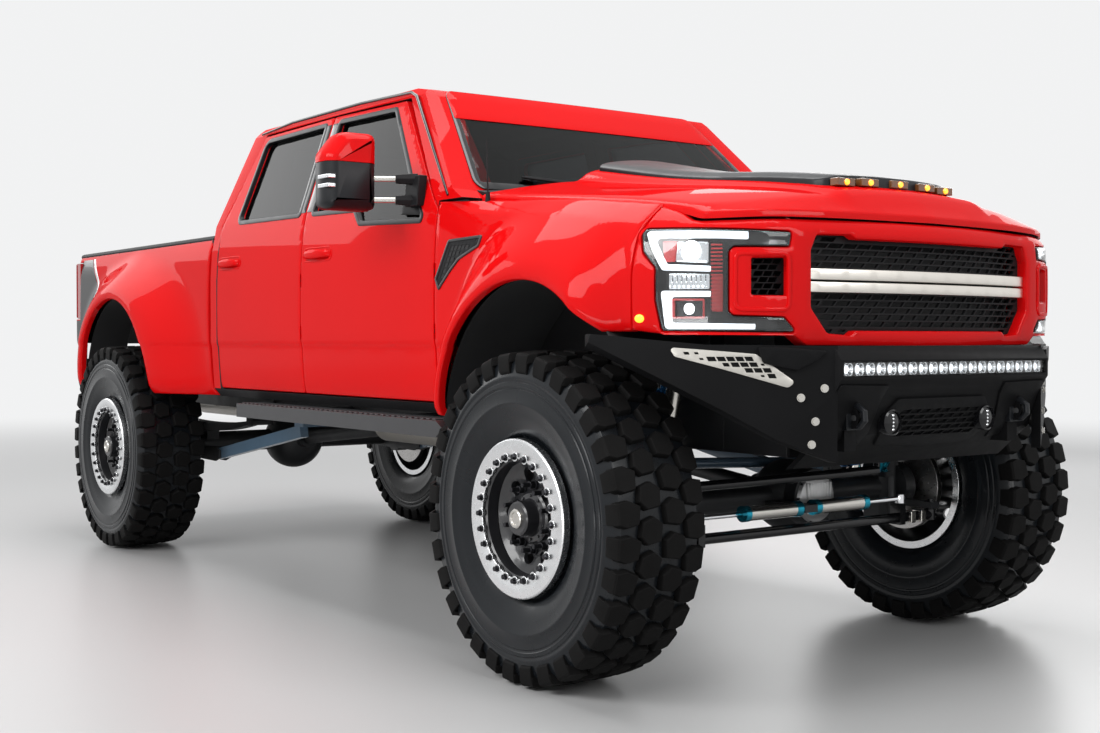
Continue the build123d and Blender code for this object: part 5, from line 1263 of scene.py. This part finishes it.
for side, sign in SIDES:
    hook, pods, lens, beads, studs = Shape(), Shape(), Shape(), Shape(), Shape()
    y = sign * HOOK_Y
    hook.tube([(3012, y, 918), (3060, y, 914), (3080, y, 934), (3078, y, 962), (3050, y, 980), (3012, y, 976)], 11, 14)
    hook.box(3004, 3034, y - 34, y + 34, 900, 990)
    made(f"tow_hook_{side}", hook, "satin", bevel=2.0)
    x, y, z = FOG_AT
    pods.turned([(0, -40), (40, -40), (44, -10), (44, 14), (38, 18), (36, 8), (0, 8)], (x, sign * y, z), "x", 32)
    made(f"fog_lamp_{side}", pods, "gloss", smooth=35)
    lens.turned([(0, 8), (35, 8), (35, 12), (20, 16), (0, 17)], (x, sign * y, z), "x", 28)
    made(f"fog_lens_{side}", lens, "gloss", smooth=50)
    for k in range(-2, 3):
        beads.turned([(0, 20), (4, 18), (6, 12), (0, 12)], (x, sign * y, z + 12 * k), "x", 12)
    made(f"fog_beads_{side}", beads, "chrome", smooth=50)
    for sy, sz in ((600, 934), (640, 1010), (575, 1040), (610, 860)):
        p = on_wing(np.array([sy]), np.array([sz]), 0.0)[0]
        studs.bolt((p[0], sign * p[1], p[2]), (WING_FACE[0], sign * WING_FACE[1], 0), 11, 10)
    made(f"wing_bolts_{side}", studs, "polished", smooth=35)

# Windscreen with its dark border and red sun strip, rear window, wipers, cowl, aerial and drip rails


def on_screen(y, z, depth):
    """The windscreen's outer face, a little proud of the pillars and bowed in its middle."""
    y, z = np.asarray(y, float), np.asarray(z, float)
    x = 1425 - (z - 1792) * 1.022 + 9 + 20 * (1 - (y / 800) ** 2)
    return np.stack([x - depth * 0.7, y, z - depth * 0.7], 1)


def on_cowl(x, y, depth):
    return np.stack([x, y, 1794 + 30 * (1 - (y / 860) ** 2) - 0.18 * (x - 1404) - depth], 1)


screen_loop = rounded([(838, 1806, 30), (694, 2262, 46), (-694, 2262, 46), (-838, 1806, 30)], step=40)
strip = rounded([(736, 2128, 3), (699, 2266, 46), (-699, 2266, 46), (-736, 2128, 3)], step=40)
sheet(
    "windscreen", on_screen, screen_loop, 5, "screen", grid=50, roll=1.0, smooth=50, slot="window_glass",
    replaces=["cab_glass"],
)
sheet(
    "screen_border", on_screen, shrunk(screen_loop, -7), 4, "gloss", sink=-1.2, holes=[shrunk(screen_loop, 24)],
    grid=60, roll=0.8,
)
sheet("sun_strip", on_screen, strip, 2, "paint", sink=-3.0, grid=60, roll=0.6)
rear_glass = Shape().rings([
    [(x, -640, 1830), (x, 640, 1830), (x + 146, 600, 2200), (x + 146, -600, 2200)] for x in (-852, -846)
])
made("rear_window", rear_glass, "glass", smooth=30)
wipers = Shape()
for y0, y1 in ((560, 60), (-60, -600)):
    arm = on_screen(np.array([y0, (y0 + y1) / 2, y1]), np.array([1806, 1836, 1852]), -14)
    blade = on_screen(np.array([y0 - 90, y1 + 20]), np.array([1838, 1858]), -10)
    wipers.tube([tuple(p) for p in arm], [9, 6, 5], 10)
    wipers.tube([tuple(p) for p in blade], 6, 10)
made("wipers", wipers, "plastic", smooth=40)
cowl = rounded([(1404, 846, 20), (1510, 846, 6), (1510, -846, 6), (1404, -846, 20)], step=40)
sheet("cowl", on_cowl, cowl, 16, "plastic", roll=4.0)
aerial = Shape().tube([(1600, -906, 1700), (1600, -906, 1766)], [13, 8], 16)
aerial.tube([(1600, -906, 1766), (1591, -906, 1968)], [3.2, 2.2], 10)
made("aerial", aerial, "plastic", smooth=40)
rails = Shape()
for sign in (1, -1):
    line = (
        (1404, 966, 1768), (1180, 897, 1986), (930, 822, 2236), (860, 806, 2262), (400, 800, 2276), (-300, 800, 2274),
        (-640, 806, 2252),
    )
    rails.tube([(x, sign * y, z) for x, y, z in line], [5, 6, 7, 7, 7, 7, 5], 12)
made("drip_rails", rails, "gloss", smooth=50)

# Black posts between the side windows

for kind, x0, x1 in (("front", 167, 240), ("rear", 84, 153)):
    post = rounded(oblong(x0, 1786, x1, 2208, 3), step=40)
    sheet(f"window_post_{kind}_{{}}", on_side, post, 5, "gloss", f"{kind}_door_{{}}", -2.2, grid=60, roll=1.5)

# Tow mirrors

MIRROR_LOOP = rounded(
    [(1121, 1718, 26), (1343, 1718, 30), (1343, 1934, 44), (1268, 2026, 60), (1121, 2026, 30)], step=18,
)
MIRROR_STATIONS = [(1006, -2), (1012, 2), (1060, 4), (1096, 0), (1118, -14), (1130, -40)]
MIRROR_SPLIT, MIRROR_END = 1905, (1600, 2100)
ARM_Z = (1762, 1848)


def mirror_ring(x, grow, low, high, sign):
    """The head's outline at one station, cut off below and above."""
    return [(x, sign * y, min(max(z, low), high)) for y, z in shrunk(MIRROR_LOOP, -grow)]


for side, sign in SIDES:
    body = f"front_door_{side}"
    cap, shell, face, lamp, arms, mount = Shape(), Shape(), Shape(), Shape(), Shape(), Shape()
    low, high = MIRROR_END
    cap.rings([mirror_ring(x, g, MIRROR_SPLIT + 1, high, sign) for x, g in MIRROR_STATIONS])
    shell.rings([mirror_ring(x, g - 1.5, low, MIRROR_SPLIT - 1, sign) for x, g in MIRROR_STATIONS])
    face.rings([mirror_ring(x, -12, low, high, sign) for x in (1004, 1008)])
    made(f"mirror_cap_{side}", cap, "paint", body, smooth=48, slot="body_paint")
    made(f"mirror_shell_{side}", shell, "satin", body, smooth=48, slot="black_plastic", replaces=[f"mirror_{side}"])
    made(f"mirror_face_{side}", face, "chrome", body, smooth=30)
    for low, high in ((1836, 1852), (1800, 1816)):
        lamp.box(1040, 1118, *sorted((sign * 1341, sign * 1350)), low, high)
        lamp.box(1106, 1124, *sorted((sign * 1262, sign * 1346)), low, high)
    made(f"mirror_lamp_{side}", lamp, "chrome", body, bevel=3.0)
    for z in ARM_Z:
        arms.tube([(1078, sign * 1150, z), (1176, sign * 976, z)], 11, 16)
        mount.tube([(1136, sign * 1048, z), (1180, sign * 968, z)], [20, 27], 6)
        mount.tube([(1070, sign * 1164, z), (1090, sign * 1128, z)], 20, 16)
    made(f"mirror_arms_{side}", arms, "polished", body, smooth=40)
    mount.rings([
        [(1126, sign * y, z), (1226, sign * y, z), (1226, sign * (y - 40), z), (1126, sign * (y - 40), z)]
        for y, z in ((1000, 1738), (997, 1800), (989, 1862))
    ])
    made(f"mirror_mount_{side}", mount, "plastic", body, bevel=4.0)
    if side == "left":
        sail = rounded([(1060, 1712, 4), (1222, 1700, 8), (1130, 1800, 8), (1062, 1868, 8)], step=20)
        sheet("mirror_sail_{}", on_side, sail, 10, "plastic", "front_door_{}", -4)

# Fender vents, and the rear corner graphic with its silver stripe

vent_loop = rounded([
    (1352, 1388, 8), (1326, 1436, 10), (1378, 1518, 24), (1420, 1588, 16), (1652, 1594, 10), (1636, 1549, 16),
    (1500, 1504, 30), (1440, 1462, 20),
], step=16) + np.array([26.0, 0.0])
vent = shrunk(vent_loop, 9)
sheet("vent_rim_{}", on_side, vent_loop, 10, "boardside", sink=-6, holes=[shrunk(vent_loop, 11)], roll=3.0)
sheet("vent_mesh_{}", on_side, vent, 3.4, "plastic", sink=-2.5, holes=lattice(vent, 9, 26, 5, 5), roll=0.8)
sheet("vent_back_{}", on_side, vent, 1.0, "inner", sink=-0.8, roll=0.4)
dark = rounded([
    (-2796, 1700, 3), (-2968, 1700, 3), (-2968, 1318, 3), (-3038, 1318, 3), (-3038, 1120, 3), (-2930, 1110, 3),
    (-2760, 1330, 3), (-2560, 1450, 3),
], step=18)
sheet("graphic_{}", on_side, dark, 1.0, "graphic", sink=-1.2, grid=18, roll=0.4)
band = rounded([(-2752, 1700, 2), (-2786, 1700, 2), (-2548, 1450, 2), (-2505, 1450, 2)], step=16)
sheet("graphic_stripe_{}", on_side, band, 1.0, "stripe", sink=-1.5, grid=16, roll=0.4)

# Tail: lamps, tailgate, rear bumper


def on_tail(x):
    """An upright face at the back, at a place along the truck."""
    return lambda a, b, d: np.stack([x + d, a, b], 1)


lamp_edge = rounded([(928, 1330, 16), (990, 1330, 14), (990, 1684, 14), (928, 1684, 16)], step=30)
tail = panel(lamp_edge, on_tail(-3056), 10, [], 40, 5.0).box(-3046, -2980, 926, 986, 1332, 1682)
pair("tail_lamp_{}", tail, "ruby", smooth=40, slot="red_lens", replaces=["tail_lamps"])
for low, high, finish in ((1470, 1500, "lens"), (1400, 1460, "chrome")):
    sheet("tail_spot_{}_" + str(low), on_tail(-3058), rounded(oblong(938, low, 980, high, 8), step=30), 6, finish)
softened("tailgate", "tailgate_skin", "paint", "tailgate", 8, 3, 20)
press = rounded([(700, 1290, 30), (700, 1620, 30), (-700, 1620, 30), (-700, 1290, 30)], step=40)
hollow = rounded([(660, 1330, 26), (660, 1580, 26), (-660, 1580, 26), (-660, 1330, 26)], step=40)
sheet("tailgate_press", on_tail(-3048), press, 8, "paint", "tailgate", holes=[hollow], grid=50, roll=5.0)
made("tailgate_latch", Shape().box(-3064, -3050, -130, 130, 1560, 1622), "plastic", "tailgate", bevel=6.0, segments=3)
softened("rear_bumper", "rear_bumper_bar", "steel", width=4, segments=3, sharp=20)

# Chassis, axles, suspension and drive keep their solids, softened

for node, body, finish, width, slot in (
    ("frame_rails", "root", "chassis", 3, "frame_paint"),
    ("crossmembers", "root", "chassis", 3, "frame_paint"),
    ("shock_towers", "root", "chassis", 2, "frame_paint"),
    ("running_boards", "root", "boardside", 4, "black_paint"),
    ("engine_block", "root", "engine", 8, "engine_iron"),
    ("driveline", "root", "iron", 4, "axle_iron"),
    ("fuel_tank", "root", "plastic", 12, "tank_metal"),
    ("exhaust", "root", "exhaust", 3, "exhaust_steel"),
    ("leaf_springs", "root", "chassis", 2, "axle_iron"),
    ("rear_axle", "root", "iron", 3, "axle_iron"),
    ("front_axle", "root", "iron", 3, "axle_iron"),
    ("suspension_links", "root", "link", 4, "link_paint"),
    ("radiator", "root", "inner", 3, "black_plastic"),
    ("dashboard", "root", "dash", 10, "dash_plastic"),
    ("bed_floor", "root", "liner", 3, "black_plastic"),
    ("steering_gear", "root", "iron", 4, "axle_iron"),
    ("knuckle_left", "knuckle_left", "iron", 3, "axle_iron"),
    ("knuckle_right", "knuckle_right", "iron", 3, "axle_iron"),
    ("steering_rods", "steering_rods", "gloss", 1.5, "link_paint"),
    ("pitman_arm", "pitman_arm", "iron", 2, "axle_iron"),
    ("steering_wheel", "steering_wheel", "leather", 3, "dash_plastic"),
    ("damper_rods", "damper_rods", "chrome", 0.8, "shock_metal"),
):
    softened(node, node + "_soft", finish, body, width)
for kind in ("front", "rear"):
    for side, _ in SIDES:
        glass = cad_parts[f"door_glass_{kind}_{side}"].data
        glass.materials.clear()
        glass.materials.append(F["glass"])
treads = Shape()
for x in range(-420, 1420, 46):
    treads.box(x, x + 26, 900, 1022, 878, 883)
made("step_treads", treads.both(), "board", bevel=1.0)

# Coil springs, shocks and steering dampers


def coil(x, y, radius, wire, low, high, turns, count=220):
    path = []
    for k in range(count + 1):
        share = k / count
        t = 2 * math.pi * turns * share
        z = low + wire + (high - low - 2 * wire) * share
        path.append((x + radius * math.cos(t), y + radius * math.sin(t), z))
    return Shape().tube(path, wire, 14)


STEM_R, SHOCK_SPLIT = 12, 0.6
springs, tubes, stems, fittings, pots, feet = Shape(), Shape(), Shape(), Shape(), Shape(), Shape()


def damper(start, end, body):
    """A shock: its body, rod and end eyes go to the shapes of those pieces."""
    a, b = Vector(start), Vector(end)
    axis = (b - a).normalized()
    split = a + axis * (b - a).length * SHOCK_SPLIT
    tubes.tube([a + axis * 46, split - axis * 8], body, 28)
    stems.tube([split - axis * 10, b - axis * 30], STEM_R, 18)
    for p, way in ((a, 1), (b, -1)):
        fittings.tube([p + axis * way * 10, p + axis * way * 48], [body * 0.72, body * 1.06], 24)
        fittings.tube([p - Vector((0, 1, 0)) * 22, p + Vector((0, 1, 0)) * 22], 20, 20)
    fittings.tube([split - axis * 14, split + axis * 12], body * 1.1, 24)


springs.join(coil(2180, 526, 48, 7.5, 640, 1146, 11))
tubes.tube([(2180, 526, 640), (2180, 526, 1140)], 30, 24)
damper((2400, 607, 1206), (2252, 607, 652), 30)
damper((1960, 607, 1206), (2108, 607, 652), 30)
damper((-2060, 640, 590), (-2170, 640, 905), 32)
pots.tube([(2300, 556, 1190), (2252, 556, 960)], 30, 24)
pots.tube([(2060, 556, 1190), (2108, 556, 960)], 30, 24)
for size in ((2060, 2300, 583, 631, 632, 652), (-2210, -2130, 468, 670, 905, 940), (-2090, -2003, 612, 668, 560, 600)):
    feet.box(*size)
for name, shape, finish, smooth, nodes in (
    ("coils", springs, "blue", 60, ()), ("shock_tubes", tubes, "polished", 40, ["shocks"]),
    ("shock_stems", stems, "chrome", 40, ()), ("shock_fittings", fittings, "teal", 40, ()),
    ("reservoirs", pots, "blue", 40, ()), ("shock_feet", feet, "iron", 30, ()),
):
    made(name, shape.both(), finish, smooth=smooth, slot="shock_metal", replaces=nodes)
DAMPER_X, DAMPER_Z = 2410, 557
cans, collars, clamps = Shape(), Shape(), Shape()
for shape, y0, y1, radius in (
    (cans, 60, 318, 28), (collars, 34, 60, 30), (collars, 306, 332, 30), (collars, 60, 66, 29.5),
):
    shape.tube([(DAMPER_X, y0, DAMPER_Z), (DAMPER_X, y1, DAMPER_Z)], radius, 32)
made("steering_damper_cans", cans.both(), "polished", smooth=40, slot="shock_metal", replaces=["steering_dampers"])
made("steering_damper_collars", collars.both(), "teal", smooth=40, slot="shock_metal")
for y in (-672, -610, 610, 672):
    clamps.box(2375, 2425, y - 14, y + 14, 455, 502)
made("tie_rod_clamps", clamps, "polished", "steering_rods", bevel=3.0)

# Cover of the front differential

guard, cover_bolts = Shape(), Shape()
for k in range(9):
    guard.box(2330, 2352, 73 + 16 * k, 79 + 16 * k, 520, 640)
guard.turned([(0, -8), (96, -8), (100, 0), (92, 14), (60, 24), (0, 26)], (2326, 140, 580), "x", 40)
made("diff_cover", guard, "finned", bevel=1.5)
for y, z in around(10, 92):
    cover_bolts.bolt((2328, 140 + y, 580 + z), (1, 0, 0), 7, 8)
made("diff_bolts", cover_bolts, "bolt", smooth=30)

# Seats


def cushion(outline, y0, y1, channels):
    """A crowned pad over an outline of (x, z): round ends, a full middle and sewn channels across it."""
    loop = rounded(outline, 30, 16)
    length = y1 - y0
    rings = []
    for share in np.linspace(0, 1, 41):
        end = min(share, 1 - share) * length
        pull = 34 * (1 - math.sqrt(1 - (1 - min(end / 34, 1)) ** 2))
        seam = min(abs(share - c) * length for c in channels) if channels else 99
        pull += 7 * math.exp(-((seam / 9) ** 2)) + 5 * (2 * share - 1) ** 2
        rings.append([(x, y0 + length * share, z) for x, z in shrunk(loop, 4 + pull)])
    return Shape().rings(rings)


def seat(name, x, inner, outer, sign):
    """A firm base under a padded cushion, backrest and headrest."""
    y0, y1 = sorted((sign * inner, sign * outer))
    middle, half = (y0 + y1) / 2, (y1 - y0) / 3 * 0.55
    base = Shape().across([(x + 8, 1012), (x + 462, 1012), (x + 466, 1184), (x + 8, 1184)], y0 + 20, y1 - 20)
    made(f"{name}_base", base, "dash", bevel=8.0, segments=3)
    for label, outline, low, high, channels, fill in (
        ("cushion", [(x + 8, 1176), (x + 484, 1176), (x + 514, 1354), (x + 134, 1344)], y0, y1, (0.2, 0.8), 0.85),
        ("back", [(x - 6, 1316), (x + 128, 1338), (x + 24, 1792), (x - 94, 1792)], y0, y1, (0.2, 0.5, 0.8), 0.85),
        ("head", [(x - 98, 1784), (x + 8, 1784), (x - 2, 1930), (x - 122, 1930)], middle - half, middle + half, (),
         0.9),
    ):
        pad = made(
            f"{name}_{label}", cushion(outline, low, high, channels), "leather", smooth=60, slot="seat_leather",
            replaces=["seats"],
        )


for side, sign in SIDES:
    seat(f"front_seat_{side}", 350, 170, 690, sign)
    seat(f"rear_seat_{side}", -560, 4, 716, sign)
